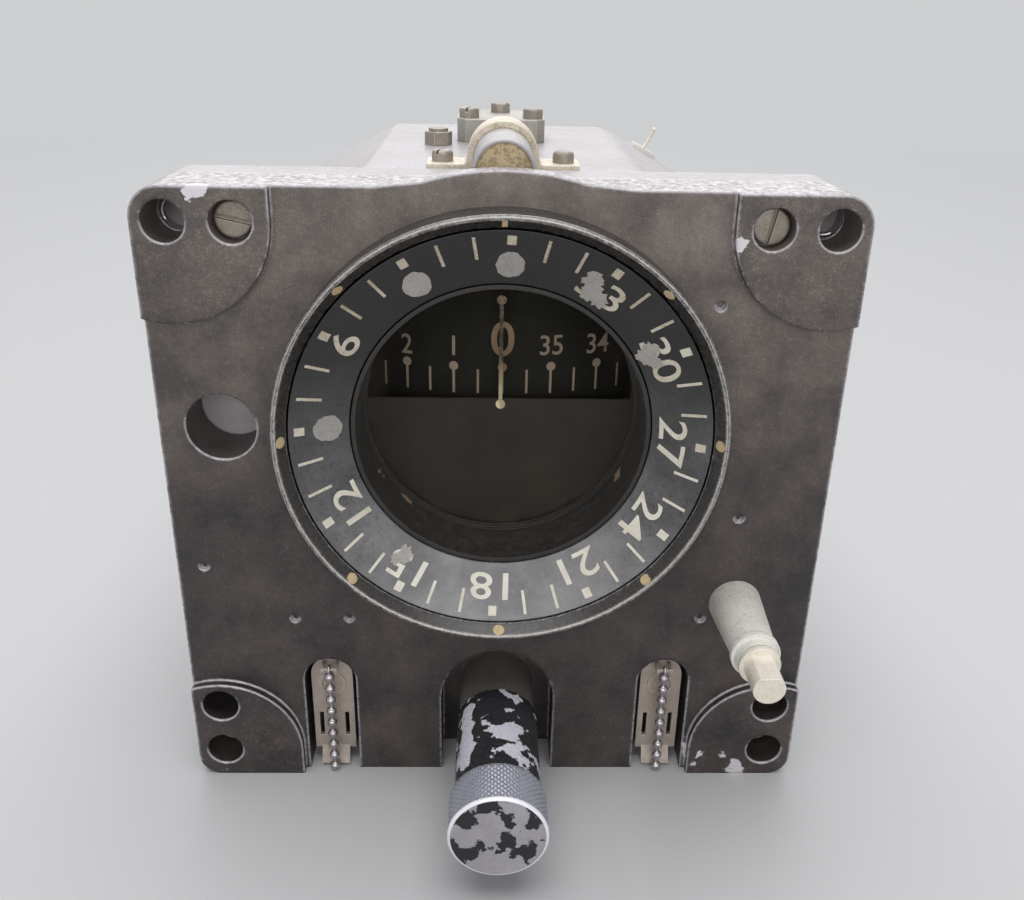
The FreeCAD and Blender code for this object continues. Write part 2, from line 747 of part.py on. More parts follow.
def heading_drive():
    """The heading dial's gear, its idler and the shaft that the missing knob turned."""
    line = math.radians(float(gear_line_angle))
    spur_gear("dial_ring_gear", dial_teeth, dial_radius, line, 0, gear_start, 0, gear_face)
    idler_half = math.pi / float(idler_teeth)
    spur_gear("idler_gear", idler_teeth, idler_pin_radius + running_gap, line + idler_half,
              idler_x, gear_start, idler_z, gear_face)
    spur_gear("heading_pinion", pinion_teeth, shaft_radius, line + math.pi,
              shaft_x, gear_start, shaft_z, gear_face)
    pin = Piece("idler_pin", idler_x, zero, idler_z)
    pin.add("Y", front_web - 3.5, gear_end + 0.2, circle(0, 0, idler_pin_radius))
    pin.add("Y", gear_end + 0.2, gear_end + 1.2, circle(0, 0, idler_pin_radius * 2))

    bore = shaft_radius + running_gap
    Piece("shaft_housing", shaft_x, zero, shaft_z).turn(
        "Y",
        (front_web, bore),
        (front_web, housing_root_radius - 0.65),
        (zero, housing_root_radius - 0.65),
        (zero, housing_root_radius),
        (-housing_length + 2, housing_tip_radius),
        (-housing_length + 2, housing_tip_radius + 0.5),
        (-housing_length + 0.5, housing_tip_radius + 0.5),
        (-housing_length + 0.5, housing_tip_radius - 0.2),
        (-housing_length - 1.5, housing_tip_radius - 0.2),
        (-housing_length - 1.5, bore))
    collar = -housing_length - 1.5 - end_gap
    shaft = Piece("heading_shaft", shaft_x, zero, shaft_z)
    shaft.turn(
        "Y",
        (gear_end + 0.6, zero),
        (gear_end + 0.6, shaft_radius),
        (collar, shaft_radius),
        (collar, shaft_radius + 1),
        (collar - 1.2, shaft_radius + 1),
        (collar - 1.2, shaft_radius),
        (-shaft_reach, shaft_radius),
        (-shaft_reach, zero))
    shaft.cut("Y", -shaft_reach, collar - 1.2,
              box(-shaft_radius - 1, shaft_radius + 1, shaft_flat, shaft_radius + 1))


def case_outline(inset):
    """The case's cross-section: upright sides, sloping shoulders and a flat crown."""
    side = case_half - inset
    rise = (case_top - case_shoulder) / (case_half - case_crown)
    slope = root(rise * rise + 1)
    drop = inset * slope
    crown = case_crown - (drop - inset) / rise
    return [(-side, base + inset), (side, base + inset),
            (side, case_shoulder + inset * rise - drop),
            (crown, case_top - inset), (-crown, case_top - inset),
            (-side, case_shoulder + inset * rise - drop)]


def cover_outline(inset):
    side = cover_half_width - inset
    low = base + cover_lift + inset
    return [(-side, low), (side, low), (side, cover_shoulder - inset),
            (cover_crown - inset, cover_top - inset),
            (inset - cover_crown, cover_top - inset), (-side, cover_shoulder - inset)]


def top_fitting_places():
    """Where the top of the case carries screws and fittings."""
    strap_y = flange_rear + spout_gap + strap_width / 2
    strap = [(side * strap_screw_spacing / 2, strap_y) for side in (1, -1)]
    corner = block_depth / 2 - 4.5
    block = [(side * (block_width / 2 - 2.8), gyro_depth - corner) for side in (1, -1)]
    block.append((zero, gyro_depth + corner - 2.0))
    plug = (size(-14.8), gyro_depth - 16)
    return strap, block, plug


def case_body():
    piece = Piece("case_body")
    piece.add("Y", casting_depth, flange_rear,
              rounded_plate(half_width, casting_top, base, top_corner, bottom_corner))
    piece.add("Y", flange_rear, case_length, loop(*case_outline(zero)))
    piece.soften(3.0, lambda edge: is_along_y(edge, -float(case_half), float(case_shoulder))
                 or is_along_y(edge, float(case_half), float(case_shoulder)))
    piece.soften(8.0, lambda edge: is_along_y(edge, float(case_crown), float(case_top)))
    piece.cut("Y", flange_rear, case_length, loop(*case_outline(wall)))
    throat = bolt_x - bolt_hole_radius - 12
    low, high = base + wall, case_top - wall
    piece.cut("Y", casting_depth, flange_rear, loop(
        (-throat, low), (throat, low), (throat, high - 12), (throat - 18, high),
        (18 - throat, high), (-throat, high - 12)))
    strap, block, plug = top_fitting_places()
    piece.cut("Z", case_top - wall, case_top, circle(0, gyro_depth, size(9)))
    piece.cut("Z", case_top - wall, case_top,
              *[circle(x, y, fastener_radius - 0.6) for x, y in strap + block])
    piece.cut("Z", case_top - wall, case_top, circle(plug[0], plug[1], size(2)))
    piece.cut("Y", casting_depth, flange_rear,
              *[circle(*place, fastener_radius - 0.4) for place, seat in screw_seats()])
    for side in (1, -1):
        start = case_half - wall if side > 0 else -case_half
        piece.cut("X", start, start + wall,
                  *[circle(case_length - 2.5, z, fastener_radius - 0.6) for z in cover_screw_heights()])


def is_along_y(edge, x, z):
    """True for a straight edge that runs along Y through this x and z."""
    corner = edge.Vertexes[0].Point
    other = edge.Vertexes[-1].Point
    return (abs(corner.x - x) < 0.01 and abs(other.x - x) < 0.01
            and abs(corner.z - z) < 0.01 and abs(other.z - z) < 0.01
            and abs(corner.y - other.y) > 1)


def cover_screw_heights():
    return [base + 24, case_shoulder - 20]


def loft(piece, kind, sections):
    """Join outlines at several depths into one solid feature."""
    feature = piece.body.newObject(kind, f"{piece.body.Name}_loft")
    drawn = [piece.sketch("Y", at, [loop(*corners)]) for at, corners in sections]
    feature.Profile = drawn[0]
    feature.Sections = [(sketch, [""]) for sketch in drawn[1:]]
    feature.Ruled = True
    piece.body.Tip = feature
    doc.recompute()
    return feature


def rear_cover():
    """A tapered cap whose lip slides into the case."""
    piece = Piece("rear_cover")
    loft(piece, "PartDesign::AdditiveLoft",
         [(case_length, case_outline(zero)), (cover_rear, cover_outline(zero))])
    full = piece.volume()
    loft(piece, "PartDesign::SubtractiveLoft",
         [(case_length, case_outline(wall)), (cover_rear - wall, cover_outline(wall))])
    if piece.volume() >= full:
        raise ValueError("the rear cover has not been hollowed")
    lip_start = case_length - lip_length
    lip_outside = loop(*case_outline(wall + 0.1))
    piece.add("Y", lip_start, case_length, lip_outside, loop(*case_outline(wall * 2)))
    piece.add("Y", case_length, case_length + 1.5,
              loop(*case_outline(wall - 0.2)), loop(*case_outline(wall * 2)))
    for side in (1, -1):
        start = case_half - wall * 2 if side > 0 else wall - case_half
        piece.cut("X", start, start + wall,
                  *[circle(case_length - 2.5, z, fastener_radius - 0.8) for z in cover_screw_heights()])
    port = circle(-cover_half_width / 2, base + 30, size(4.5))
    inlet = circle(cover_half_width / 3, base + 62, size(9))
    piece.cut("Y", cover_rear - wall, cover_rear, port, inlet)


def rear_fittings():
    Piece("vacuum_port", -cover_half_width / 2, zero, base + 30).turn(
        "Y",
        (cover_rear - wall - 1, size(2.6)),
        (cover_rear - wall - 1, size(4.5)),
        (cover_rear, size(4.5)),
        (cover_rear, size(7)),
        (cover_rear + 3, size(7)),
        (cover_rear + 3, size(5)),
        (cover_rear + 11, size(5)),
        (cover_rear + 11, size(2.6)))
    inlet = Piece("filter_cap", cover_half_width / 3, zero, base + 62)
    inlet.turn(
        "Y",
        (cover_rear - wall, size(7.5)),
        (cover_rear - wall, size(9)),
        (cover_rear, size(9)),
        (cover_rear, size(11.5)),
        (cover_rear + 5, size(11.5)),
        (cover_rear + 6, size(10.5)),
        (cover_rear + 6, zero),
        (cover_rear + 4.8, zero),
        (cover_rear + 4.8, size(7.5)))
    vents = inlet.cut("Y", cover_rear + 4.8, cover_rear + 6, circle(0, 5, size(1.4)))
    inlet.repeat(vents, "Y", size(8))


def top_fittings():
    strap, block, plug = top_fitting_places()
    strap_start = flange_rear + spout_gap
    strap_end = strap_start + strap_width
    centre = case_top + spout_rise
    clamp = Piece("saddle_clamp")
    outer = spout_radius + strap_thickness
    half_span = strap_span / 2
    clamp.add("Y", strap_start, strap_end, loop(
        (half_span, case_top),
        (half_span, case_top + strap_thickness),
        (outer, case_top + strap_thickness),
        (outer, centre, Arc(outer, 0, centre, 1)),
        (-outer, centre),
        (-outer, case_top + strap_thickness),
        (-half_span, case_top + strap_thickness),
        (-half_span, case_top),
        (-spout_radius, case_top),
        (-spout_radius, centre, Arc(spout_radius, 0, centre, -1)),
        (spout_radius, centre),
        (spout_radius, case_top)))
    clamp.cut("Z", case_top, case_top + strap_thickness,
              *[circle(x, y, fastener_radius - 0.5) for x, y in strap])
    bend = float(case_top + strap_thickness)
    clamp.soften(1.0, lambda edge: is_along_y(edge, float(outer), bend)
                 or is_along_y(edge, -float(outer), bend))

    spout = Piece("vent_spout")
    start, end = spout_start, spout_start + spout_length
    mouth = spout_radius - 0.7
    crown = centre + spout_radius
    low = casting_top
    spout.add("Y", start, end, arched(zero, spout_radius, low, crown))
    spout.cut("Y", start, end - 3, arched(zero, mouth, low + 0.7, crown - 0.7))
    Piece("vent_screen").add("Y", start + 0.8, end - 3, arched(zero, mouth, low + 0.7, crown - 0.7))

    housing = Piece("pivot_housing", zero, gyro_depth, zero)
    half = block_width / 2
    deep = block_depth / 2
    housing.add("Z", case_top, case_top + block_height, loop(
        (-half, 2 - deep), (-half + 2, -deep), (half - 2, -deep), (half, 2 - deep),
        (half, size(2)), (half * 0.45, deep), (-half * 0.45, deep), (-half, size(2))))
    housing.add("Z", card_top + 6, case_top, circle(0, 0, size(9)))
    housing.cut("Z", card_top + 6, card_top + 10.5, circle(0, 0, size(7)))
    housing.cut("Z", card_top + 10.5, card_top + 16, circle(0, 0, pivot_radius + 0.8))
    housing.cut("Z", case_top - wall, case_top + block_height,
                *[circle(x, y - gyro_depth, fastener_radius - 0.6) for x, y in block])

    head = 2.3
    shank = float(fastener_radius) - 0.6
    fillister = screw_shape(2.4, head, shank, 7.0, crown=0.6, slot=0.7)
    top = float(case_top + block_height)
    screws("block_screws", fillister, [(x, y, top) for x, y in block], turns=[20, 75, -35])
    ear_top = float(case_top + strap_thickness)
    short = screw_shape(2.2, head, shank, 3.6, crown=0.9, slot=0.6)
    screws("clamp_screws", short, [(x, y, ear_top) for x, y in strap], turns=[10, 60])
    hexagon = Piece("relief_plug", plug[0], plug[1], case_top)
    across = size(3.3)
    corners = [(across * cosine(size(angle)), across * sine(size(angle)))
               for angle in range(15, 375, 60)]
    hexagon.add("Z", zero, size(3.0), loop(*corners))
    hexagon.add("Z", -wall, zero, circle(0, 0, size(2)))
    hexagon.add("Z", size(3.0), size(3.8), circle(0, 0, size(2.3)))


def feed_through():
    """A white insulator with a metal pin on the right shoulder, near the rear edge."""
    rise = float(case_top - case_shoulder)
    run = float(case_half - case_crown)
    tilt = math.degrees(math.atan2(rise, run))
    along = 12.2
    x = float(case_crown) + along * math.cos(math.radians(tilt))
    z = float(case_top) - along * math.sin(math.radians(tilt))
    turned = Rotation(Vector(0, 1, 0), tilt)
    place = Placement(Vector(x, float(case_length) - 4.5, z), turned)
    plate = Part.makeBox(6.8, 5.0, 1.1, Vector(-3.4, -2.5, 0))
    hole = Part.makeCylinder(0.5, 1.1)
    insulator = doc.addObject("Part::Feature", "feed_through")
    insulator.Shape = plate.cut(hole)
    insulator.Placement = place
    keep(insulator, "feed_through")
    shank = Part.makeCylinder(0.5, 6.6).fuse(Part.makeSphere(0.62, Vector(0, 0, 6.5)))
    pin = doc.addObject("Part::Feature", "feed_through_pin")
    pin.Shape = shank.removeSplitter()
    pin.Placement = place
    keep(pin, "feed_through_pin")


def gyro():
    """Card, vertical ring, rotor shell and rotor, one inside the other on crossed pivots."""
    centre = gyro_centre
    ring_top = centre + ring_radius
    ring_low = centre - ring_radius
    inner = ring_radius - ring_wall
    half_ring = ring_width / 2
    ring = Piece("vertical_ring", zero, gyro_depth, centre)
    ring.add("Y", -half_ring, half_ring, circle(0, 0, ring_radius), circle(0, 0, inner))
    for side in (1, -1):
        start = inner - 2.5 if side > 0 else -ring_radius - 0.5
        ring.add("X", start, start + ring_wall + 3, circle(0, 0, size(8)))
    ring.add("Z", inner - 1.5, card_top - card_wall - centre, circle(0, 0, size(7)))
    ring.add("Z", -ring_radius - 1.5, 1.5 - inner, circle(0, 0, size(7)))
    for side in (1, -1):
        start = inner - 2.5 if side > 0 else -ring_radius - 0.5
        ring.cut("X", start, start + ring_wall + 3, circle(0, 0, size(5)))
    ring.cut("Z", inner - 1.5, ring_radius + 3, circle(0, 0, pivot_radius))
    ring.cut("Z", -ring_radius - 1.5, 1.5 - inner, circle(0, 0, lower_pivot_radius))

    card = Piece("compass_card", zero, gyro_depth, zero)
    rim = card_radius - card_wall
    card.turn(
        "Z",
        (card_top - card_height, card_radius),
        (card_top, card_radius),
        (card_top, pivot_radius + 0.5),
        (card_top - card_wall, pivot_radius + 0.5),
        (card_top - card_wall, rim),
        (card_top - card_height, rim))
    lightening = card.cut("Z", card_top - card_wall, card_top,
                          circle(card_radius * 0.55, 0, card_radius * 0.22))
    card.repeat(lightening, "Z", size(6))

    lower_end = -casting_drop + wall + 3.1
    gear_rim = azimuth_radius
    gear_top = knob_axis - caging_pinion_tip - end_gap
    azimuth = Piece("azimuth_gear", zero, gyro_depth, zero)
    azimuth.turn(
        "Z",
        (gear_top - 3, gear_rim),
        (gear_top, gear_rim),
        (gear_top, gear_rim - 5),
        (gear_top - 1.2, gear_rim - 5),
        (gear_top - 1.2, size(7)),
        (ring_low - 1.5, size(7)),
        (ring_low - 1.5, lower_pivot_radius),
        (gear_top - 3, lower_pivot_radius))
    groove = azimuth.cut("Z", gear_top - 1, gear_top,
                         box(gear_rim - 6, gear_rim + 1, size(-0.75), size(0.75)))
    azimuth.repeat(groove, "Z", azimuth_teeth)

    Piece("upper_pivot", zero, gyro_depth, zero).add(
        "Z", centre + inner - 1.5, card_top + 11, circle(0, 0, pivot_radius))
    lower = Piece("lower_pivot", zero, gyro_depth, zero)
    lower.add("Z", lower_end, centre - inner + 1.5,
              circle(0, 0, lower_pivot_radius), circle(0, 0, plunger_radius + running_gap))
    ball_race = pivot_radius + running_gap
    races = Piece("upper_bearing", zero, gyro_depth, zero)
    races.add("Z", card_top + 6.5, card_top + 10.5, circle(0, 0, size(7)), circle(0, 0, ball_race))
    seat = Piece("lower_bearing_seat", zero, gyro_depth, zero)
    floor = base + wall
    seat.add("Z", floor, lower_end + 2.2, circle(0, 0, size(10.5)))
    seat.cut("Z", lower_end, lower_end + 2.2, circle(0, 0, size(8)))
    seat.cut("Z", floor, lower_end, circle(0, 0, lower_pivot_radius + 1))
    seat.cut("Z", floor, lower_end - 0.4,
             box(size(-2.4), size(2.4), size(-11), yoke_toe + caging_travel + end_gap))
    Piece("lower_bearing", zero, gyro_depth, zero).add(
        "Z", lower_end, lower_end + 2.2,
        circle(0, 0, size(8)), circle(0, 0, lower_pivot_radius + running_gap))

    race = Part.makeCylinder(5.0, 4.5).cut(Part.makeCylinder(float(ball_race), 4.5))
    reach = float(inner) - 1.5
    bearing_places = [(reach, gyro_depth, centre), (-reach, gyro_depth, centre)]
    ways = [Vector(1, 0, 0), Vector(-1, 0, 0)]
    screws("gimbal_bearings", race, bearing_places, ways)
    shell_end = float(shell_radius) - 3.0
    trunnion = Part.makeCylinder(float(pivot_radius), float(inner) + 2.0 - shell_end)
    trunnion_places = [(shell_end, gyro_depth, centre), (-shell_end, gyro_depth, centre)]
    screws("gimbal_pivots", trunnion, trunnion_places, ways)

    shell = Piece("rotor_shell", zero, gyro_depth, centre)
    half = shell_width / 2
    bore = shell_radius - shell_wall
    hub = pivot_radius + 6
    hollow = half - shell_wall
    shell.add("Y", -half, half, circle(0, 0, shell_radius))
    shell.cut("Y", -hollow, hollow, circle(0, 0, bore))
    shell.add("Y", -half - 4, -hollow, circle(0, 0, hub))
    shell.add("Y", hollow, half + 4, circle(0, 0, hub))
    shell.cut("Y", -half - 4, half + 4, circle(0, 0, pivot_radius + 3.5))
    for side in (1, -1):
        start = -half if side < 0 else hollow
        window = shell.cut("Y", start, start + shell_wall, circle(size(17.5), 0, size(5)))
        shell.repeat(window, "Y", size(6))
    for side in (1, -1):
        start = bore - 1 if side > 0 else -shell_radius - 4
        shell.add("X", start, start + shell_wall + 3, circle(0, 0, size(6)))
    shell.cut("X", shell_end_size(), shell_radius + 4, circle(0, 0, pivot_radius))
    shell.cut("X", -shell_radius - 4, -shell_end_size(), circle(0, 0, pivot_radius))
    shell.add("Z", -shell_radius - 3, 1 - shell_radius, box(size(-5), size(5), size(-4.5), size(4.5)))

    race = Part.makeCylinder(float(pivot_radius) + 3.5, 5.0)
    race = race.cut(Part.makeCylinder(float(ball_race), 5.0))
    out = float(half) - 1.5
    places = [(0, float(gyro_depth) + out, centre), (0, float(gyro_depth) - out, centre)]
    screws("rotor_bearings", race, places, [Vector(0, 1, 0), Vector(0, -1, 0)])
    rotor = Piece("rotor", zero, gyro_depth, centre)
    wide = rotor_width / 2
    rotor.turn(
        "Y",
        (-wide, pivot_radius), (-wide, size(7)), (size(-4), size(9)),
        (size(-4), rotor_radius - 7), (-wide, rotor_radius - 6), (-wide, rotor_radius),
        (wide, rotor_radius), (wide, rotor_radius - 6), (size(4), rotor_radius - 7),
        (size(4), size(9)), (wide, size(7)), (wide, pivot_radius))
    bucket = rotor.cut("Y", -wide + 5, wide - 5, circle(rotor_radius + 0.8, 0, size(2.6)))
    rotor.repeat(bucket, "Y", bucket_count)
    Piece("rotor_shaft", zero, gyro_depth, centre).add(
        "Y", -half - 3, half + 3, circle(0, 0, pivot_radius))


def shell_end_size():
    return shell_radius - 3


def caging_gear():
    """Knob, rod, pinion, yoke and the plunger that steadies the rotor shell."""
    Piece("knob_bushing", zero, zero, knob_axis).turn(
        "Y",
        (casting_depth, rod_radius + running_gap),
        (casting_depth, size(6)),
        (niche_depth, size(6)),
        (niche_depth, bush_radius),
        (-bush_reach, bush_radius),
        (-bush_reach, rod_radius + running_gap))
    bore = bush_radius + running_gap
    bore_end = -bush_reach - caging_travel - 1.5
    knurl_start = knurl_length - knob_reach
    Piece("caging_knob", zero, zero, knob_axis).turn(
        "Y",
        (-knob_start, bore),
        (-knob_start, knob_radius),
        (knurl_start + 0.6, knob_radius),
        (knurl_start, knurl_radius),
        (-knob_reach + 0.5, knurl_radius),
        (-knob_reach, knurl_radius - 0.5),
        (-knob_reach, zero),
        (bore_end - 12, zero),
        (bore_end - 12, rod_radius),
        (bore_end, rod_radius),
        (bore_end, bore))
    pinion_end = gyro_depth - azimuth_radius - 0.5
    pinion_start = pinion_end - caging_travel
    yoke_start = flange_rear + 2
    yoke_end = yoke_start + 4
    collar = rod_radius + 1.6
    Piece("caging_rod", zero, zero, knob_axis).turn(
        "Y",
        (bore_end - 12, zero),
        (bore_end - 12, rod_radius),
        (yoke_start - 1.8, rod_radius),
        (yoke_start - 1.8, collar),
        (yoke_start - end_gap, collar),
        (yoke_start - end_gap, rod_radius),
        (yoke_end + end_gap, rod_radius),
        (yoke_end + end_gap, collar),
        (yoke_end + 1.8, collar),
        (yoke_end + 1.8, rod_radius),
        (pinion_end, rod_radius),
        (pinion_end, zero))
    spokes = 10
    tip, bottom = float(caging_pinion_tip), float(caging_pinion_tip) - 1.4
    points = []
    for tooth in range(spokes):
        middle = 2 * math.pi * tooth / spokes
        for radius, spread in ((bottom, -0.2), (tip, -0.11), (tip, 0.11), (bottom, 0.2)):
            points.append(Vector(radius * math.cos(middle + spread), 0,
                                 radius * math.sin(middle + spread)))
    blank = Part.Face(Part.makePolygon(points + points[:1]))
    blank = blank.extrude(Vector(0, float(caging_travel), 0))
    hole = Part.makeCylinder(float(rod_radius), float(caging_travel), Vector(0, 0, 0), Vector(0, 1, 0))
    made_from_shape("caging_pinion", blank.cut(hole), 0, float(pinion_start), float(knob_axis))

    floor = base + wall
    yoke = Piece("caging_yoke")
    yoke.add("Y", yoke_start, yoke_end, box(size(-8), size(8), floor + end_gap, knob_axis + 7))
    yoke.cut("Y", yoke_start, yoke_end, circle(0, knob_axis, rod_radius + running_gap))
    low = floor + end_gap
    toe = gyro_depth + yoke_toe
    ramp_end = gyro_depth - plunger_radius - 0.2
    ramp_start = ramp_end - caging_travel
    yoke.add("X", size(-2), size(2), loop(
        (yoke_end, low), (toe, low), (toe, low + 1), (ramp_end, low + 1),
        (ramp_start, low + 1 + plunger_lift), (yoke_end, low + 1 + plunger_lift)))
    head_top = gyro_centre - shell_radius - 3 - plunger_lift - 0.8
    Piece("caging_plunger", zero, gyro_depth, zero).turn(
        "Z",
        (low + 1.1, zero),
        (low + 1.1, plunger_radius - 0.5),
        (low + 1.6, plunger_radius),
        (head_top - 1.5, plunger_radius),
        (head_top - 1.5, size(5)),
        (head_top, size(5)),
        (head_top, zero))


def lamp_carriers():
    for side, name in ((-1, "left"), (1, "right")):
        x = slot_offset * side
        half = carrier_width / 2
        top = slot_top - carrier_top_gap
        low = base + 4
        front = carrier_recess
        carrier = Piece(f"lamp_carrier_{name}", x, zero, zero)
        carrier.add("Y", front, front + carrier_thickness, arched(zero, half, low, top))
        sill = base + 0.6
        carrier.add("X", size(-3.2), size(3.2), loop(
            (front, low + 3), (front + carrier_thickness, low + 3),
            (front + carrier_thickness, low - 0.4), (front - 0.4, sill), (front - 1.8, sill),
            (front, low + 0.6)))
        carrier.add("Y", front - 0.4, front,
                    circle(0, top - 7.2, size(3.1)), circle(0, top - 7.2, size(2.3)))
        hook = top - hook_drop
        for post in (-1.8, 1.1):
            carrier.add("Y", -chain_stand_off - 0.5, front,
                        box(size(post), size(post + 0.7), hook - 0.5, hook + 0.5))
        carrier.add("X", size(-1.8), size(1.8), circle(-chain_stand_off, hook, hook_radius))
        carrier.cut("Y", front, front + carrier_thickness,
                    box(size(-3.4), size(-2.4), low + 3.5, low + 10))
        carrier.cut("Y", front, front + carrier_thickness,
                    box(size(2.4), size(3.4), low + 3.5, low + 10))
        carrier.add("Z", top - 14, top - half,
                    circle(0, bulb_depth, bulb_radius), circle(0, bulb_depth, bulb_radius - 0.6))
        carrier.add("Y", front + carrier_thickness, bulb_depth - bulb_radius + 0.5,
                    box(size(-1.6), size(1.6), top - 13, top - half - 1))
        Piece(f"lamp_bulb_{name}", x, bulb_depth, zero).turn(
            "Z",
            (top - 13, zero),
            (top - 13, bulb_radius - 0.6),
            (top - half, bulb_radius - 0.6),
            (top - half + 2, bulb_radius - 0.9),
            (top - half + 4.4, size(1.6)),
            (top - half + 5, zero))
        chain(name, x, hook)


def chain(name, x, hook):
    """A short ball chain hanging by its eye from the hook on its carrier."""
    wire = 0.35
    eye = float(hook_radius) + 0.15 + wire
    beads = [Part.makeTorus(eye, wire, Vector(0, 0, 0), Vector(1, 0, 0))]
    first = -eye - float(bead_radius)
    for index in range(int(float(bead_count))):
        middle = first - index * float(bead_pitch)
        beads.append(Part.makeSphere(float(bead_radius), Vector(0, 0, middle)))
        if index:
            beads.append(Part.makeCylinder(0.45, float(bead_pitch), Vector(0, 0, middle)))
    whole = beads[0].multiFuse(beads[1:]).removeSplitter()
    made_from_shape(f"pull_chain_{name}", whole, float(x), -float(chain_stand_off), float(hook))


def front_fasteners():
    """Screws in the casting and the window frame, and the spring nuts for the panel bolts."""
    slotted = screw_shape(float(bolt_hole_radius) - 0.5, 2.4, float(fastener_radius) - 0.4,
                          float(flange_rear - lower_seat_depth), crown=0.5, slot=0.9)
    places = [(place[0], seat, place[1]) for place, seat in screw_seats()]
    screws("casting_screws", slotted, places, Vector(0, -1, 0), turns=[78, 30, -12, 100])
    small = screw_shape(2.1, 1.2, 1.2, 8.5)
    rear = float(casting_depth)
    screws("frame_screws", small, [(x, rear, z) for x, z in ears], Vector(0, 1, 0))
    side_screw = screw_shape(2.2, 1.6, float(fastener_radius) - 0.8, 2 * float(wall), slot=0.6)
    places = [(side * float(case_half), case_length - 2.5, z)
              for side in (1, -1) for z in cover_screw_heights()]
    ways = [Vector(1, 0, 0), Vector(1, 0, 0), Vector(-1, 0, 0), Vector(-1, 0, 0)]
    screws("cover_screws", side_screw, places, ways)
    radius, long = float(clip_radius), float(clip_depth)
    clip = Part.makeCylinder(radius, long).cut(Part.makeCylinder(radius - 1.6, long))
    clip = clip.cut(Part.makeBox(1.2, radius + 1, long, Vector(-0.6, 0, 0)))
    places = [(side * bolt_x, casting_depth - clip_depth, z)
              for side in (1, -1) for z in (bolt_rise, bolt_low)]
    screws("nut_clips", clip, places, Vector(0, 1, 0), turns=[40, 10, -40, -10])


front_casting()
bezel_ring()
heading_dial()
window_frame()
window_parts()
heading_drive()
case_body()
rear_cover()
rear_fittings()
top_fittings()
feed_through()
gyro()
caging_gear()
lamp_carriers()
front_fasteners()
doc.recompute()

for item in doc.Objects:
    if "Invalid" in item.State or "Error" in item.State:
        raise ValueError(f"{item.Label} could not be made: {item.State}")
for sub_part in sub_parts:
    if sub_part.Shape.isNull() or not sub_part.Shape.isValid():
        raise ValueError(f"{sub_part.Label} has no valid shape")
for sub_part in sub_parts:
    sub_part.Shape.exportStep(f"parts/{sub_part.Label}.step")
print(f"{len(sub_parts)} sub-parts written")
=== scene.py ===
"""Directional gyro: paints, wear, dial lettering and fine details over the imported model.

Lengths are in millimetres in the part's own frame, with Z up and the dial facing -Y. MM makes them metres.
"""
import math
import random

import bmesh
import bpy
from mathutils import Matrix, Vector


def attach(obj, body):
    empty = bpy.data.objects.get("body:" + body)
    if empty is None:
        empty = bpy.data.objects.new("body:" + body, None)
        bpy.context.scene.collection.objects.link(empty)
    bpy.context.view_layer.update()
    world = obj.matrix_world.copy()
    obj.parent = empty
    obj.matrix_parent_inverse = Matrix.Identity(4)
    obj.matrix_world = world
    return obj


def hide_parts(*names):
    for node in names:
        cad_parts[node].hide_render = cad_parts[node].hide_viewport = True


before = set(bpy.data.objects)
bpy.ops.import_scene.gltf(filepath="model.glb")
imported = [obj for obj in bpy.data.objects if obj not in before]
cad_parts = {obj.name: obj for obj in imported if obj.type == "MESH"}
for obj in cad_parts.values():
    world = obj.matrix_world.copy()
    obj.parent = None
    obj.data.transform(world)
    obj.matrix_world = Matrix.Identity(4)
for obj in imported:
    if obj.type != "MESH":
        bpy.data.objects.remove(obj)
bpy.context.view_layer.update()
MM = 0.001

# Heights of the base and of the caging knob's axis
BASE = -86.0
KNOB_AXIS = -69.0

scene = bpy.context.scene
scene.view_settings.view_transform = "Standard"


def colour(hex_value):
    """An sRGB hex value as the linear colour that Blender's sockets take."""
    channels = [int(hex_value[i:i + 2], 16) / 255 for i in (1, 3, 5)]
    linear = [c / 12.92 if c <= 0.04045 else ((c + 0.055) / 1.055) ** 2.4 for c in channels]
    return (*linear, 1.0)


def add(tree, kind, links=None, **settings):
    """Add one node. Settings name its properties or sockets, links give sockets their source."""
    node = tree.nodes.new(kind)
    for name, value in settings.items():
        socket = node.inputs.get(name.replace("_", " "))
        if hasattr(node, name):
            setattr(node, name, value)
        else:
            socket.default_value = value
    for name, source in (links or {}).items():
        tree.links.new(source, node.inputs[name])
    return node


# Spacing of the broad shading and of the flakes, and the depth of the grit
BLOTCH, FLAKE, GRIT_DEPTH = 14.0, 5.0, 0.12
# Places along Y between which a face goes from proud of the casting to flush with it
PROUD, FLUSH = -1.9, -0.5
# How metallic a bare spot looks, dulled by air and hands
BARE_METALLIC = 0.25


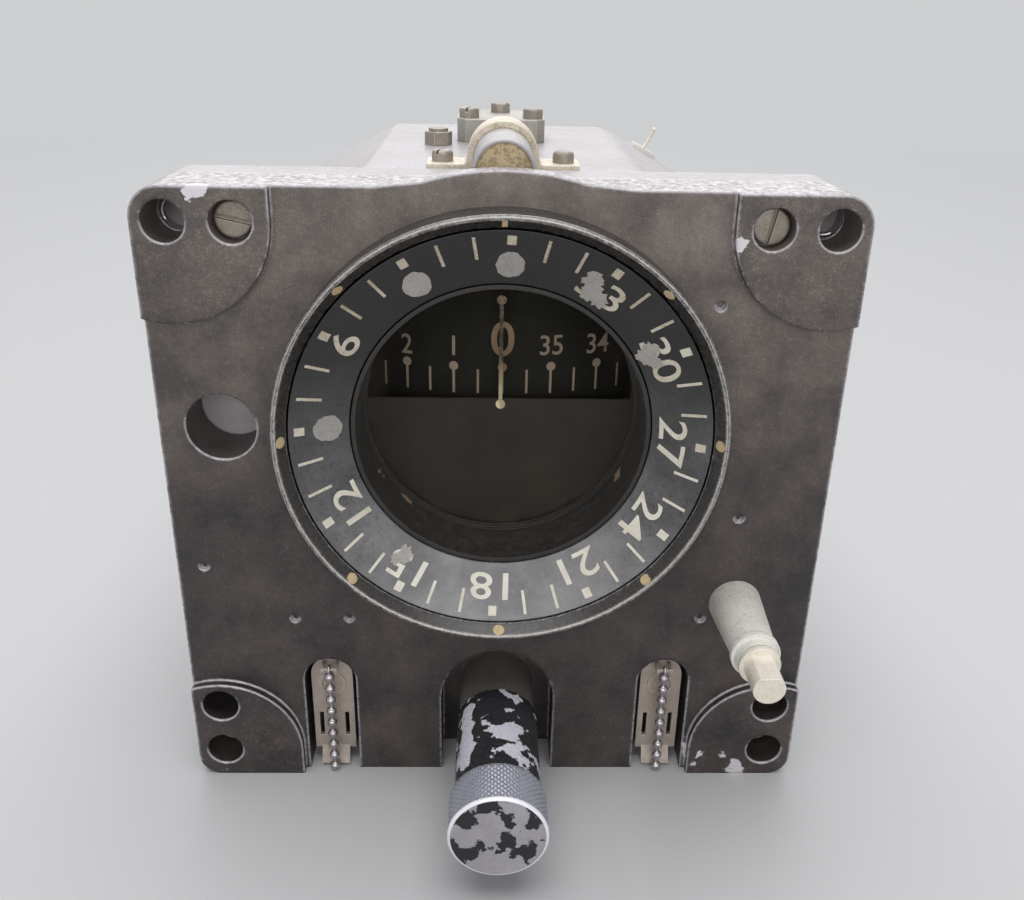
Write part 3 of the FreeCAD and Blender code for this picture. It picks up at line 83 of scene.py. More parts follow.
def dust_cover(tree, place, broad, grainy, dustiness, dust_and_light_by_height, proud_share):
    """How much dust colour each point takes: loose specks of dust, and a layer graded by height, which is
    gathered dust on some finishes, a painted sheen on the dial ring, and both on the casting.
    """
    speck = add(tree, "ShaderNodeMapRange", {"Value": grainy},
                From_Min=1.12 - 0.3 * dustiness, From_Max=1.36 - 0.3 * dustiness)
    area = add(tree, "ShaderNodeMath", {0: speck.outputs["Result"], 1: broad}, operation="MULTIPLY")
    specks = add(tree, "ShaderNodeMath", {0: area.outputs[0]}, operation="MULTIPLY", use_clamp=True)
    specks.inputs[1].default_value = 2.2 * dustiness
    if not dust_and_light_by_height:
        return specks.outputs[0]
    # The layer graded by height: dust, and a painted sheen of the overhead light on the dial ring and in part
    # on the casting
    first, last, most = dust_and_light_by_height
    axes = add(tree, "ShaderNodeSeparateXYZ", {"Vector": place}).outputs
    layer = add(tree, "ShaderNodeMapRange", {"Value": axes["Z"]},
                From_Min=first * MM, From_Max=last * MM, To_Min=0.0, To_Max=most)
    # Faces that stand proud of the casting get less of the layer: less dust, as they are wiped more often,
    # and less painted sheen
    wiped = add(tree, "ShaderNodeMapRange", {"Value": axes["Y"]},
                From_Min=PROUD * MM, From_Max=FLUSH * MM, To_Min=proud_share, To_Max=1.0)
    drift = add(tree, "ShaderNodeMapRange", {"Value": broad},
                From_Min=0.38, From_Max=0.62, To_Min=0.65, To_Max=1.4)
    patchy = layer.outputs["Result"]
    for part in (grainy, wiped.outputs["Result"], drift.outputs["Result"]):
        patchy = add(tree, "ShaderNodeMath", {0: patchy, 1: part}, operation="MULTIPLY").outputs[0]
    cover = add(tree, "ShaderNodeMath", {0: specks.outputs[0], 1: patchy}, operation="ADD", use_clamp=True)
    return cover.outputs[0]


def worn_bare(tree, place, rounded, fine, wear, chips, spots, rubbed_and_lit_top):
    """Where the metal shows: on rubbed edges and tops, in flakes and in worn spots; pale tops are partly a
    painted highlight, and edges that look down keep less wear as painted shade.
    """
    facing = add(tree, "ShaderNodeNewGeometry").outputs["Normal"]
    turn = add(tree, "ShaderNodeVectorMath", {0: rounded, 1: facing}, operation="DOT_PRODUCT")
    bend = add(tree, "ShaderNodeMapRange", {"Value": turn.outputs["Value"]},
               From_Min=0.995, From_Max=0.90, To_Min=0.0, To_Max=wear)
    # Edges that look down keep less of the pale wear: a painted shade, since the light falls from above
    upward = add(tree, "ShaderNodeSeparateXYZ", {"Vector": rounded}).outputs["Z"]
    painted_light_from_above = add(tree, "ShaderNodeMapRange", {"Value": upward},
                  From_Min=-0.4, From_Max=0.1, To_Min=0.35, To_Max=1.0)
    worn = add(tree, "ShaderNodeMath", {0: bend.outputs["Result"], 1: painted_light_from_above.outputs["Result"]},
               operation="MULTIPLY")
    # Above the top height, faces that look up turn pale: rubbed, and partly a painted highlight of the
    # overhead light
    if rubbed_and_lit_top:
        level = add(tree, "ShaderNodeMapRange", {"Value": upward},
                    From_Min=0.7, From_Max=0.97, To_Min=0.0, To_Max=0.35)
        height = add(tree, "ShaderNodeSeparateXYZ", {"Vector": place}).outputs["Z"]
        above = add(tree, "ShaderNodeMapRange", {"Value": height},
                    From_Min=rubbed_and_lit_top * MM, From_Max=(rubbed_and_lit_top + 4) * MM)
        top = add(tree, "ShaderNodeMath", {0: level.outputs["Result"], 1: above.outputs["Result"]},
                  operation="MULTIPLY")
        worn = add(tree, "ShaderNodeMath", {0: worn.outputs[0], 1: top.outputs[0]}, operation="MAXIMUM")
    rubbed = add(tree, "ShaderNodeMath", {0: worn.outputs[0], 1: fine}, operation="ADD")
    edge_wear_and_light = add(tree, "ShaderNodeMapRange", {"Value": rubbed.outputs[0]}, From_Min=0.74, From_Max=0.96)
    flake = add(tree, "ShaderNodeTexNoise", {"Vector": place},
                Scale=1 / (FLAKE * MM), Detail=4.0, Roughness=0.55).outputs["Fac"]
    for x, y, z, reach in spots:
        away = add(tree, "ShaderNodeVectorMath", {0: place}, operation="DISTANCE")
        away.inputs[1].default_value = (x * MM, y * MM, z * MM)
        near = add(tree, "ShaderNodeMapRange", {"Value": away.outputs["Value"]},
                   From_Min=reach * MM, From_Max=0.0, To_Min=0.0, To_Max=0.42)
        flake = add(tree, "ShaderNodeMath", {0: flake, 1: near.outputs["Result"]}, operation="ADD").outputs[0]
    flaked = add(tree, "ShaderNodeMapRange", {"Value": flake},
                 From_Min=0.78 - 0.35 * chips, From_Max=0.80 - 0.35 * chips)
    bare = add(tree, "ShaderNodeMath", {0: edge_wear_and_light.outputs["Result"], 1: flaked.outputs["Result"]},
               operation="MAXIMUM", use_clamp=True)
    return bare.outputs[0]


def worn_surface(name, paint, shade, dust, metal, wear=0.4, chips=0.0, dustiness=0.3,
                 roughness=0.5, metallic=0.0, grain=0.35, relief=0.25, edge=0.5, coat=0.0,
                 dust_and_light_by_height=None, proud_share=1.0, spots=(), specular=0.5, rubbed_and_lit_top=None):
    """A finish with broad shading, dust, a layer graded by height that holds gathered dust and painted sheen,
    fine grain, and metal where edges have worn.

    Sizes are millimetres: grain is the spacing of the surface's grit and edge the width of wear.
    The layer graded by height grows from its first height to its second, where it has the third's share, and
    faces that stand proud of the casting keep proud_share of it.
    Each spot is (x, y, z, radius) worn bare. Above the given top height, faces that look up turn pale, partly
    rubbed and partly a painted highlight of the overhead light.
    """
    material = bpy.data.materials.new(name)
    material.use_nodes = True
    tree = material.node_tree
    tree.nodes.clear()
    place = add(tree, "ShaderNodeTexCoord").outputs["Object"]
    broad = add(tree, "ShaderNodeTexNoise", {"Vector": place},
                Scale=1 / (BLOTCH * MM), Detail=5.0, Roughness=0.62).outputs["Fac"]
    fine = add(tree, "ShaderNodeTexNoise", {"Vector": place},
               Scale=1 / (grain * 4 * MM), Detail=6.0, Roughness=0.7).outputs["Fac"]
    grit = add(tree, "ShaderNodeTexNoise", {"Vector": place},
               Scale=1 / (grain * MM), Detail=3.0).outputs["Fac"]
    grainy = add(tree, "ShaderNodeMath", {0: fine, 1: grit}, operation="ADD").outputs[0]
    rounded = add(tree, "ShaderNodeBevel", samples=6, Radius=edge * MM).outputs["Normal"]

    tone = add(tree, "ShaderNodeMapRange", {"Value": broad}, From_Min=0.35, From_Max=0.65)
    mottled = add(tree, "ShaderNodeMix", {"Factor": tone.outputs["Result"]}, data_type="RGBA")
    mottled.inputs["A"].default_value = colour(paint)
    mottled.inputs["B"].default_value = colour(shade)
    # The dust colour goes over the paint; where the layer graded by height stands for light, it is a painted
    # sheen
    cover = dust_cover(tree, place, broad, grainy, dustiness, dust_and_light_by_height, proud_share)
    dusty = add(tree, "ShaderNodeMix", {"Factor": cover}, data_type="RGBA")
    tree.links.new(mottled.outputs["Result"], dusty.inputs["A"])
    dusty.inputs["B"].default_value = colour(dust)
    bare = worn_bare(tree, place, rounded, fine, wear, chips, spots, rubbed_and_lit_top)
    skin = add(tree, "ShaderNodeMix", {"Factor": bare}, data_type="RGBA")
    tree.links.new(dusty.outputs["Result"], skin.inputs["A"])
    skin.inputs["B"].default_value = colour(metal)

    gloss = add(tree, "ShaderNodeMapRange", {"Value": fine}, From_Min=0.3, From_Max=0.7,
                To_Min=max(0.05, roughness - 0.12), To_Max=min(1.0, roughness + 0.15))
    shader = add(tree, "ShaderNodeBsdfPrincipled",
                 {"Base Color": skin.outputs["Result"], "Roughness": gloss.outputs["Result"]})
    shader.inputs["Specular IOR Level"].default_value = specular
    if relief:
        step = add(tree, "ShaderNodeMath", {0: grainy, 1: bare}, operation="SUBTRACT")
        bump = add(tree, "ShaderNodeBump", {"Height": step.outputs[0], "Normal": rounded},
                   Strength=relief, Distance=GRIT_DEPTH * MM)
        tree.links.new(bump.outputs["Normal"], shader.inputs["Normal"])
    if metallic:
        shader.inputs["Metallic"].default_value = metallic
    elif metal != paint:
        share = add(tree, "ShaderNodeMath", {0: bare}, operation="MULTIPLY")
        share.inputs[1].default_value = BARE_METALLIC
        tree.links.new(share.outputs[0], shader.inputs["Metallic"])
    if coat:
        shader.inputs["Coat Weight"].default_value = coat
        shader.inputs["Coat Roughness"].default_value = 0.25
    add(tree, "ShaderNodeOutputMaterial", {"Surface": shader.outputs["BSDF"]})
    return material


# Black lacquer on sand-cast aluminium: greyed by handling, dusty towards its top, where the paler layer is
# partly a painted sheen of the overhead light, and pale where rubbed, on its top faces partly as a painted
# highlight
casting_paint = worn_surface("black_lacquer_on_casting", "#232022", "#443c39", "#8a7f77", "#cfcbd0",
                             wear=0.5, dustiness=0.2, roughness=0.4, grain=0.3, relief=0.4, edge=1.0,
                             dust_and_light_by_height=(-20, 66, 0.62), proud_share=0.55, rubbed_and_lit_top=43,
                             spots=((47, -2, -80, 8), (56, -2, -84, 6), (42, -2, -70, 3),
                                    (-55, -2, 47, 5), (43, -2, 38, 4), (-66, -2, -60, 3)))
# The case's rolled aluminium, thinly sprayed, coloured pale lilac grey all over as a painted sheen of the
# overhead light, with rubbed edges
case_paint_and_sheen = worn_surface("case_spray_pale_as_painted_sheen", "#a8a4a8", "#9c9798", "#b3aba0", "#d3d0d0",
                          wear=0.5, dustiness=0.3, roughness=0.36, grain=0.5, relief=0.25, edge=0.8)
# Turned bezel in semi-gloss black, worn bright round its outer edge, where the wide pale rim is partly a
# painted highlight
bezel_paint = worn_surface("black_enamel_on_bezel", "#262423", "#322f2d", "#80766a", "#d2cec9",
                           wear=0.95, dustiness=0.2, roughness=0.3, grain=0.3, relief=0.3, edge=1.0,
                           specular=0.6)
# Black instrument paint of the turning ring, with a sheen, and a lilac grey on its lower part that is a
# painted sheen of the overhead light
ring_paint_and_sheen = worn_surface("matt_black_dial_paint", "#141313", "#1b1a19", "#8a888a", "#9c9a98",
                          wear=0.15, dustiness=0.04, roughness=0.32, grain=0.3, relief=0.1, edge=0.3,
                          specular=0.6, dust_and_light_by_height=(16, -42, 0.56))
# Dead matt black sprayed on the card, clean and even behind the glass
card_paint = worn_surface("matt_black_card_paint", "#282522", "#2d2a26", "#3a3631", "#302c29",
                          wear=0.0, dustiness=0.0, roughness=0.9, grain=0.6, relief=0.0, edge=0.2,
                          specular=0.15)
# Matt black on the mask plate, browner than the card under a film of dust
mask_paint = worn_surface("dusty_black_mask", "#433a37", "#4a413c", "#5a534b", "#504743",
                          wear=0.0, dustiness=0.04, roughness=0.85, grain=0.6, relief=0.0, edge=0.2,
                          specular=0.2)
# Black paint inside the window's tube, grimy, with brown chips low on its wall
tunnel_paint = worn_surface("grimy_black_window_tube", "#1a1816", "#24201d", "#5b4a3a", "#8a7660",
                            wear=0.15, dustiness=0.22, roughness=0.5, grain=0.5, relief=0.3, edge=0.3,
                            spots=((-26, 10, -13, 5), (26, 10, -14, 5), (-20, 10, -21, 4)))
# Glossy black knob enamel flaked down to lilac-grey aluminium, with one long streak at the left
knob_enamel = worn_surface("flaked_black_knob_enamel", "#232326", "#2c2c30", "#55535a", "#e4e3ee",
                           wear=0.8, chips=0.62, dustiness=0.15, roughness=0.26, grain=0.3, relief=0.4,
                           edge=0.5, coat=0.3,
                           spots=((-6.6, -9, -63.1, 2.6), (-6.8, -12, -63.3, 2.6), (-6.6, -15, -63.1, 2.8),
                                  (-6.8, -18, -63.3, 2.6), (-6.6, -21, -63.1, 2.8), (-6.7, -24, -63.2, 2.6),
                                  (1.5, -19, -60.4, 3), (2.5, -24, -60.6, 3)))
# The bush in the arch, dark with old grease and grime
grimy_bush = worn_surface("grimy_knob_bush", "#7d766e", "#68615a", "#85786a", "#a39c92",
                          wear=0.5, dustiness=0.3, roughness=0.4, metallic=0.2, grain=0.4, relief=0.3,
                          edge=0.4)
# The knob's chamfer, polished bright by fingers
rim_metal = worn_surface("finger_polished_rim", "#ebe8f0", "#dedbe4", "#b9b5bd", "#f2f0f6",
                         wear=0.3, dustiness=0.1, roughness=0.35, metallic=0.1, grain=0.3, relief=0.1,
                         edge=0.2)
# Cut diamond knurl in aluminium: blue-grey, with dirt in its grooves and bright points
knurl_metal = worn_surface("knurled_aluminium", "#9a9ca6", "#878994", "#5b5a5f", "#c3c5cd",
                           wear=0.8, dustiness=0.25, roughness=0.4, metallic=0.4, grain=0.3, relief=0.2,
                           edge=0.25)
# The knob's flat face, where patches of black paint are left on rubbed grey metal
knob_face_metal = worn_surface("rubbed_knob_face", "#a29fa3", "#8f8c8f", "#7d7a7c", "#232326",
                               wear=0.0, chips=0.68, dustiness=0.3, roughness=0.45, grain=0.4, relief=0.5,
                               edge=0.3)
# Machined aluminium bosses, dulled and dusty
dull_aluminium = worn_surface("dull_machined_aluminium", "#e3e0d9", "#d2cec6", "#a99b85", "#efede8",
                              wear=0.6, dustiness=0.42, roughness=0.45, metallic=0.1, grain=0.4, relief=0.3,
                              edge=0.5)
# The bearing block on the top, a darker grey than the bosses
block_aluminium = worn_surface("darker_grey_block_aluminium", "#aeaba4", "#97938b", "#7d7466", "#d6d3cc",
                               wear=0.6, dustiness=0.42, roughness=0.45, metallic=0.2, grain=0.4, relief=0.3,
                               edge=0.5)
# Turned steel of shafts and pins, pale cream under a dry film
shaft_steel = worn_surface("pale_turned_steel", "#ece5d8", "#dcd3c3", "#a6977f", "#f2ede3",
                           wear=0.4, dustiness=0.3, roughness=0.4, metallic=0.2, grain=0.3, relief=0.2,
                           edge=0.3)
# Plated screws gone dull, with dark brown specks
screw_steel = worn_surface("dull_plated_screws", "#a1998d", "#8a8277", "#5d5345", "#cfcbc2",
                           wear=0.6, dustiness=0.45, roughness=0.4, metallic=0.3, grain=0.3, relief=0.3,
                           edge=0.25)
# Plated steel of beads, clips and bearings, still bright
bright_steel = worn_surface("bright_bead_steel", "#b3aeb0", "#9b9698", "#6a6460", "#d6d2d2",
                            wear=0.0, dustiness=0.2, roughness=0.25, metallic=0.85, grain=0.5, relief=0.05,
                            edge=0.2)
# Tinned sheet of the lamp carriers, a warm grey with pale edges
carrier_tin = worn_surface("tinned_lamp_carrier", "#a89c92", "#958a80", "#6f655b", "#cfc8bf",
                           wear=0.6, dustiness=0.35, roughness=0.4, metallic=0.15, grain=0.4, relief=0.2,
                           edge=0.25)
# Plated saddle strap, cream with olive and brown dust
strap_metal = worn_surface("olive_plated_strap", "#dbd1c2", "#c2b8a3", "#9a8560", "#ece8de",
                           wear=0.5, dustiness=0.5, roughness=0.45, metallic=0.3, grain=0.5, relief=0.35,
                           edge=0.4)
# Brass of the gears, the rotor and the suction port, dulled
brass_metal = worn_surface("dull_brass", "#9b8550", "#8a7546", "#6c5c3c", "#c8b27a",
                           wear=0.3, dustiness=0.2, roughness=0.35, metallic=0.85, grain=0.4, relief=0.1,
                           edge=0.3)
# The spout's screen, packed with tan dust so that it looks like felt
screen_felt = worn_surface("dust_packed_screen", "#b3a184", "#9c8a6c", "#d0bd98", "#b3a184",
                           wear=0.0, dustiness=0.8, roughness=0.95, grain=0.6, relief=1.0, edge=0.2,
                           specular=0.2)
# White insulator of the electrical pin, slightly yellowed
insulator_white = worn_surface("white_insulator", "#dcd9d3", "#d0ccc5", "#b8b1a5", "#dcd9d3",
                               wear=0.0, dustiness=0.1, roughness=0.4, grain=0.4, relief=0.1, edge=0.2)
# Rubber seal gone brown and dull
seal_black = worn_surface("aged_rubber_seal", "#2c2723", "#3a3028", "#6b543c", "#2c2723",
                          wear=0.0, dustiness=0.7, roughness=0.8, grain=0.5, relief=0.3, edge=0.2)
# Thick cream ink of the ring's numbers, browner towards the top
cream_ink = worn_surface("cream_dial_ink", "#ddd8cc", "#cbc4b5", "#9a8e76", "#8c8984",
                         wear=0.0, chips=0.12, dustiness=0.3, roughness=0.6, grain=0.3, relief=0.2, edge=0.1,
                         dust_and_light_by_height=(-25, 45, 0.75))
# The card's large zero, in ink faded to tan
card_ink = worn_surface("faded_tan_card_ink", "#ad8f74", "#97795f", "#7d6650", "#ad8f74",
                        wear=0.0, dustiness=0.0, roughness=0.8, grain=0.3, relief=0.0, edge=0.1)
# The card's other numbers and ticks, faded to a greyish pink
grey_ink = worn_surface("faded_pink_card_ink", "#b39c8a", "#9d8776", "#7d7160", "#b39c8a",
                        wear=0.0, dustiness=0.0, roughness=0.8, grain=0.3, relief=0.0, edge=0.1)
# The lubber line's cream enamel, bright below and darker brown towards its top
lubber_enamel = worn_surface("lubber_enamel_darker_at_top", "#ffe9c4", "#f5dfb8", "#63503f", "#ffe9c4",
                             wear=0.0, dustiness=0.0, roughness=0.6, grain=0.5, relief=0.0, edge=0.1,
                             dust_and_light_by_height=(3, 14, 1.0))
# Old paint of the bezel's marks, a dull ochre cream
mark_cream = worn_surface("cream_bezel_mark", "#c9b58c", "#b39f78", "#7f6f52", "#c9b58c",
                          wear=0.0, dustiness=0.3, roughness=0.7, grain=0.3, relief=0.2, edge=0.1)
# Bare grey metal where the ring's paint has come away
bare_patch = worn_surface("bare_patch_under_paint", "#a39f9a", "#928e89", "#77716a", "#b5b1ac",
                          wear=0.0, chips=0.1, dustiness=0.4, roughness=0.5, grain=0.35, relief=0.3, edge=0.1)

# Spacing of the dust film's patches, and the radii between which the window's dust sets in
FILM, WIPED, DUSTY = 9.0, 23.0, 29.0


def clear_glass(name, tint, dust_hex, dust_share):
    """Soda-lime glass with a thin film of dust."""
    material = bpy.data.materials.new(name)
    material.use_nodes = True
    tree = material.node_tree
    tree.nodes.clear()
    place = add(tree, "ShaderNodeTexCoord").outputs["Object"]
    film = add(tree, "ShaderNodeTexNoise", {"Vector": place},
               Scale=1 / (FILM * MM), Detail=6.0, Roughness=0.7)
    patches = add(tree, "ShaderNodeMapRange", {"Value": film.outputs["Fac"]},
                  From_Min=0.4, From_Max=0.75, To_Max=dust_share)
    # Dust gathers towards the rim of the window, and its middle has been wiped
    across = add(tree, "ShaderNodeVectorMath", {0: place}, operation="MULTIPLY")
    across.inputs[1].default_value = (1.0, 0.0, 1.0)
    from_middle = add(tree, "ShaderNodeVectorMath", {0: across.outputs["Vector"]}, operation="LENGTH")
    rim = add(tree, "ShaderNodeMapRange", {"Value": from_middle.outputs["Value"]},
              From_Min=WIPED * MM, From_Max=DUSTY * MM)
    dust = add(tree, "ShaderNodeMath", {0: patches.outputs["Result"], 1: rim.outputs["Result"]},
               operation="MULTIPLY")
    through = add(tree, "ShaderNodeBsdfTransparent", Color=colour(tint))
    shine = add(tree, "ShaderNodeBsdfGlossy", Color=colour("#ffffff"), Roughness=0.03)
    # The glass mirrors its surroundings only where it is seen at a slant
    slant = add(tree, "ShaderNodeFresnel", IOR=1.45)
    mirror = add(tree, "ShaderNodeMapRange", {"Value": slant.outputs["Fac"]}, From_Min=0.06, From_Max=1.0)
    pane = add(tree, "ShaderNodeMixShader",
               {"Fac": mirror.outputs["Result"], 1: through.outputs["BSDF"], 2: shine.outputs["BSDF"]})
    film_shader = add(tree, "ShaderNodeBsdfDiffuse", Color=colour(dust_hex))
    dusty = add(tree, "ShaderNodeMixShader",
                {"Fac": dust.outputs[0], 1: pane.outputs["Shader"], 2: film_shader.outputs["BSDF"]})
    add(tree, "ShaderNodeOutputMaterial", {"Surface": dusty.outputs["Shader"]})
    return material


window_pane = clear_glass("dusty_window_glass", "#f4f6f5", "#6b6258", 0.3)
lamp_glass = clear_glass("lamp_glass", "#f2ead8", "#8a8072", 0.2)

finishes = {
    "front_casting": casting_paint, "case_body": case_paint_and_sheen, "rear_cover": case_paint_and_sheen,
    "bezel_ring": bezel_paint, "heading_dial": ring_paint_and_sheen, "compass_card": card_paint,
    "mask_plate": mask_paint, "window_frame": tunnel_paint, "glass_gasket": seal_black,
    "window_glass": window_pane, "glass_retainer": seal_black, "lubber_line": lubber_enamel,
    "frame_screws": screw_steel, "shaft_housing": dull_aluminium, "idler_pin": shaft_steel,
    "knob_bushing": grimy_bush, "cover_screws": screw_steel, "casting_screws": screw_steel,
    "nut_clips": bright_steel, "vacuum_port": brass_metal, "filter_cap": case_paint_and_sheen,
    "saddle_clamp": strap_metal, "clamp_screws": screw_steel, "vent_spout": case_paint_and_sheen,
    "vent_screen": screen_felt, "pivot_housing": block_aluminium, "block_screws": screw_steel,
    "relief_plug": screw_steel, "feed_through": insulator_white, "feed_through_pin": shaft_steel,
    "upper_bearing": bright_steel, "lower_bearing": bright_steel, "lower_bearing_seat": dull_aluminium,
    "dial_ring_gear": brass_metal, "heading_shaft": shaft_steel, "heading_pinion": brass_metal,
    "idler_gear": brass_metal, "caging_yoke": dull_aluminium, "caging_knob": knob_enamel,
    "caging_rod": shaft_steel, "caging_pinion": brass_metal, "vertical_ring": dull_aluminium,
    "azimuth_gear": dull_aluminium, "upper_pivot": bright_steel, "lower_pivot": bright_steel,
    "gimbal_bearings": bright_steel, "caging_plunger": bright_steel, "rotor_shell": dull_aluminium,
    "gimbal_pivots": bright_steel, "rotor_bearings": bright_steel, "rotor": brass_metal,
    "rotor_shaft": bright_steel, "lamp_carrier_left": carrier_tin, "lamp_carrier_right": carrier_tin,
    "lamp_bulb_left": lamp_glass, "lamp_bulb_right": lamp_glass,
    "pull_chain_left": bright_steel, "pull_chain_right": bright_steel,
}
for name, finish in finishes.items():
    cad_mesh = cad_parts[name].data
    cad_mesh.materials.clear()
    cad_mesh.materials.append(finish)


def finished(name, mesh, finish, body, smooth=True):
    """Turn a bmesh into a piece that rides on a CAD body."""
    data = bpy.data.meshes.new(name)
    mesh.to_mesh(data)
    mesh.free()
    data.materials.append(finish)
    if smooth:
        data.shade_smooth()
        data.set_sharp_from_angle(angle=math.radians(35))
    piece = bpy.data.objects.new(name, data)
    scene.collection.objects.link(piece)
    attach(piece, body)
    return piece


# The dial's cone: its outer and its inner radius, and how far forward each of them stands
DIAL_OUTER, DIAL_INNER = 41.3, 30.2
DIAL_OUTER_HEIGHT, DIAL_INNER_HEIGHT = 6.3, 1.0
# How far the dial is turned in degrees, and the radii of its squares, ticks and numbers
DIAL_TURN = 2.0
SQUARE_RADIUS, TICK_RADIUS, NUMBER_RADIUS = 39.3, 37.9, 34.7
# The compass card's radius, the place of its axis along Y, and how far it is turned in degrees
CARD_RADIUS, CARD_AXIS, CARD_TURN = 60.0, 78.0, 0.35
# The bezel's bevel as (radius, height) at its inner and outer edge, and its width along the slope
BEVEL_INNER, BEVEL_OUTER, BEVEL_WIDTH = (41.75, 6.3), (43.55, 8.7), 3.0
# How far ink, and a patch on the dial, stand off the surface
INK, PATCH = 0.06, 0.08
# Share of a font's size that its capitals stand high
CAPITALS = 0.69


def on_dial(turn, sideways, radius, lift):
    """A point of the dial at a clock angle in degrees, in metres."""
    slope = (DIAL_OUTER_HEIGHT - DIAL_INNER_HEIGHT) / (DIAL_OUTER - DIAL_INNER)
    height = DIAL_INNER_HEIGHT + (radius - DIAL_INNER) * slope + lift
    angle = math.radians(turn) + sideways / radius
    return Vector((radius * math.sin(angle), -height, radius * math.cos(angle))) * MM


def on_card(turn, sideways, height, lift):
    """A point of the compass card at a card angle in degrees, in metres."""
    radius = CARD_RADIUS + lift
    angle = math.radians(turn) + sideways / CARD_RADIUS
    return Vector((radius * math.sin(angle), CARD_AXIS - radius * math.cos(angle), height)) * MM


def on_bevel(turn, sideways, along, lift):
    """A point of the bezel's bevel at a clock angle, measured from the bevel's middle, in metres."""
    share = 0.5 + along / BEVEL_WIDTH
    radius = BEVEL_INNER[0] + (BEVEL_OUTER[0] - BEVEL_INNER[0]) * share
    height = BEVEL_INNER[1] + (BEVEL_OUTER[1] - BEVEL_INNER[1]) * share + lift
    angle = math.radians(turn) + sideways / radius
    return Vector((radius * math.sin(angle), -height, radius * math.cos(angle))) * MM


def flat_text(text, height, width_scale, bolder):
    """A text's flat outline as a bmesh in millimetres, centred, with its capitals that high."""
    curve = bpy.data.curves.new("artwork", "FONT")
    curve.body = text
    curve.align_x = "CENTER"
    curve.size = height / CAPITALS
    curve.resolution_u = 6
    curve.offset = bolder
    holder = bpy.data.objects.new("artwork", curve)
    scene.collection.objects.link(holder)
    flat = bpy.data.meshes.new_from_object(holder)
    mesh = bmesh.new()
    mesh.from_mesh(flat)
    bpy.data.objects.remove(holder)
    bpy.data.curves.remove(curve)
    bpy.data.meshes.remove(flat)
    bmesh.ops.scale(mesh, vec=(width_scale, 1, 1), verts=mesh.verts)
    bmesh.ops.remove_doubles(mesh, verts=mesh.verts, dist=0.001)
    return mesh


def flat_bar(width, height):
    """A painted bar, such as a tick or a square."""
    mesh = bmesh.new()
    bmesh.ops.create_grid(mesh, x_segments=2, y_segments=4, size=0.5)
    bmesh.ops.scale(mesh, vec=(width, height, 1), verts=mesh.verts)
    return mesh


def flat_dot(radius, ragged=0.0, seed=1):
    """A round spot of paint, or a ragged bare patch."""
    chance = random.Random(seed)
    mesh = bmesh.new()
    bmesh.ops.create_circle(mesh, cap_ends=True, segments=28, radius=radius)
    for vertex in mesh.verts:
        vertex.co *= 1 + chance.uniform(-ragged, ragged)
    return mesh


def middle_height(mesh):
    """The mean height of flat artwork's points, by which a number is centred."""
    return sum((v.co.y for v in mesh.verts), 0.0) / len(mesh.verts)


def wrapped(mesh, surface, turn, height, sideways=0.0, lift=INK):
    """Lay flat artwork on a surface, with its middle at a turn in degrees and a height or radius."""
    bmesh.ops.subdivide_edges(mesh, edges=[e for e in mesh.edges if e.calc_length() > 1.5], cuts=2)
    for vertex in mesh.verts:
        vertex.co = surface(turn, sideways + vertex.co.x, height + vertex.co.y, lift)
    return mesh


def joined(meshes):
    """Several bmeshes as one."""
    whole = bmesh.new()
    for mesh in meshes:
        passing = bpy.data.meshes.new("passing")
        mesh.to_mesh(passing)
        mesh.free()
        whole.from_mesh(passing)
        bpy.data.meshes.remove(passing)
    return whole


def outward(mesh, direction):
    """Turn every face of thin artwork to the side that is seen."""
    for face in mesh.faces:
        face.normal_update()
        if face.normal.dot(direction(face.calc_center_median())) < 0:
            face.normal_flip()
    return mesh


def forwards(centre):
    """The side from which the instrument's face is seen."""
    return Vector((0, -1, 0))


def away_from_card_axis(centre):
    """The outer side of the compass card."""
    out = centre - Vector((0, CARD_AXIS * MM, 0))
    out.z = 0
    return out


def dial_artwork():
    """Cream numbers, squares and ticks, and the spots where they have flaked away."""
    inks, patches = [], []
    numbers = ["0", "33", "30", "27", "24", "21", "18", "15", "12", "9", "6", "3"]
    # Numbers that are worn away, each with the radius at which its bare patch lies
    gone = {"0": 34.3, "3": 34.3, "9": 34.1}
    for index, text in enumerate(numbers):
        turn = DIAL_TURN + 30.0 * index
        inks.append(wrapped(flat_bar(1.7, 1.9), on_dial, turn, SQUARE_RADIUS))
        if text not in gone:
            digits = flat_text(text, 5.0, 1.42, bolder=0.06)
            inks.append(wrapped(digits, on_dial, turn, NUMBER_RADIUS - middle_height(digits)))
        for step in (10.0, 20.0):
            inks.append(wrapped(flat_bar(0.62, 4.6), on_dial, turn + step, TICK_RADIUS))
    for index, (text, radius) in enumerate(gone.items()):
        turn = DIAL_TURN + 30.0 * numbers.index(text)
        patches.append(wrapped(flat_dot(2.7, 0.05, seed=index + 3), on_dial, turn, radius, lift=PATCH))
    # Flakes out of the numbers 33, 30 and 15: turn, place sideways, radius, size and seed
    flakes = [(30, -2.6, 35.6, 1.9, 5), (30, -1.4, 33.4, 2.0, 6), (30, 0.6, 33.0, 1.7, 7),
              (60, -2.6, 33.6, 1.6, 8), (60, -1.6, 32.0, 1.7, 9), (60, 0.2, 33.2, 1.3, 10),
              (210, 2.2, 33.6, 1.6, 11), (210, 3.4, 35.2, 1.2, 12)]
    for turn, sideways, radius, size, seed in flakes:
        patches.append(wrapped(flat_dot(size, 0.25, seed=seed), on_dial, turn + DIAL_TURN, radius,
                               sideways, PATCH))
    finished("dial_numbers", outward(joined(inks), forwards), cream_ink, "dial", smooth=False)
    finished("dial_bare_patches", outward(joined(patches), forwards), bare_patch, "dial",
             smooth=False)


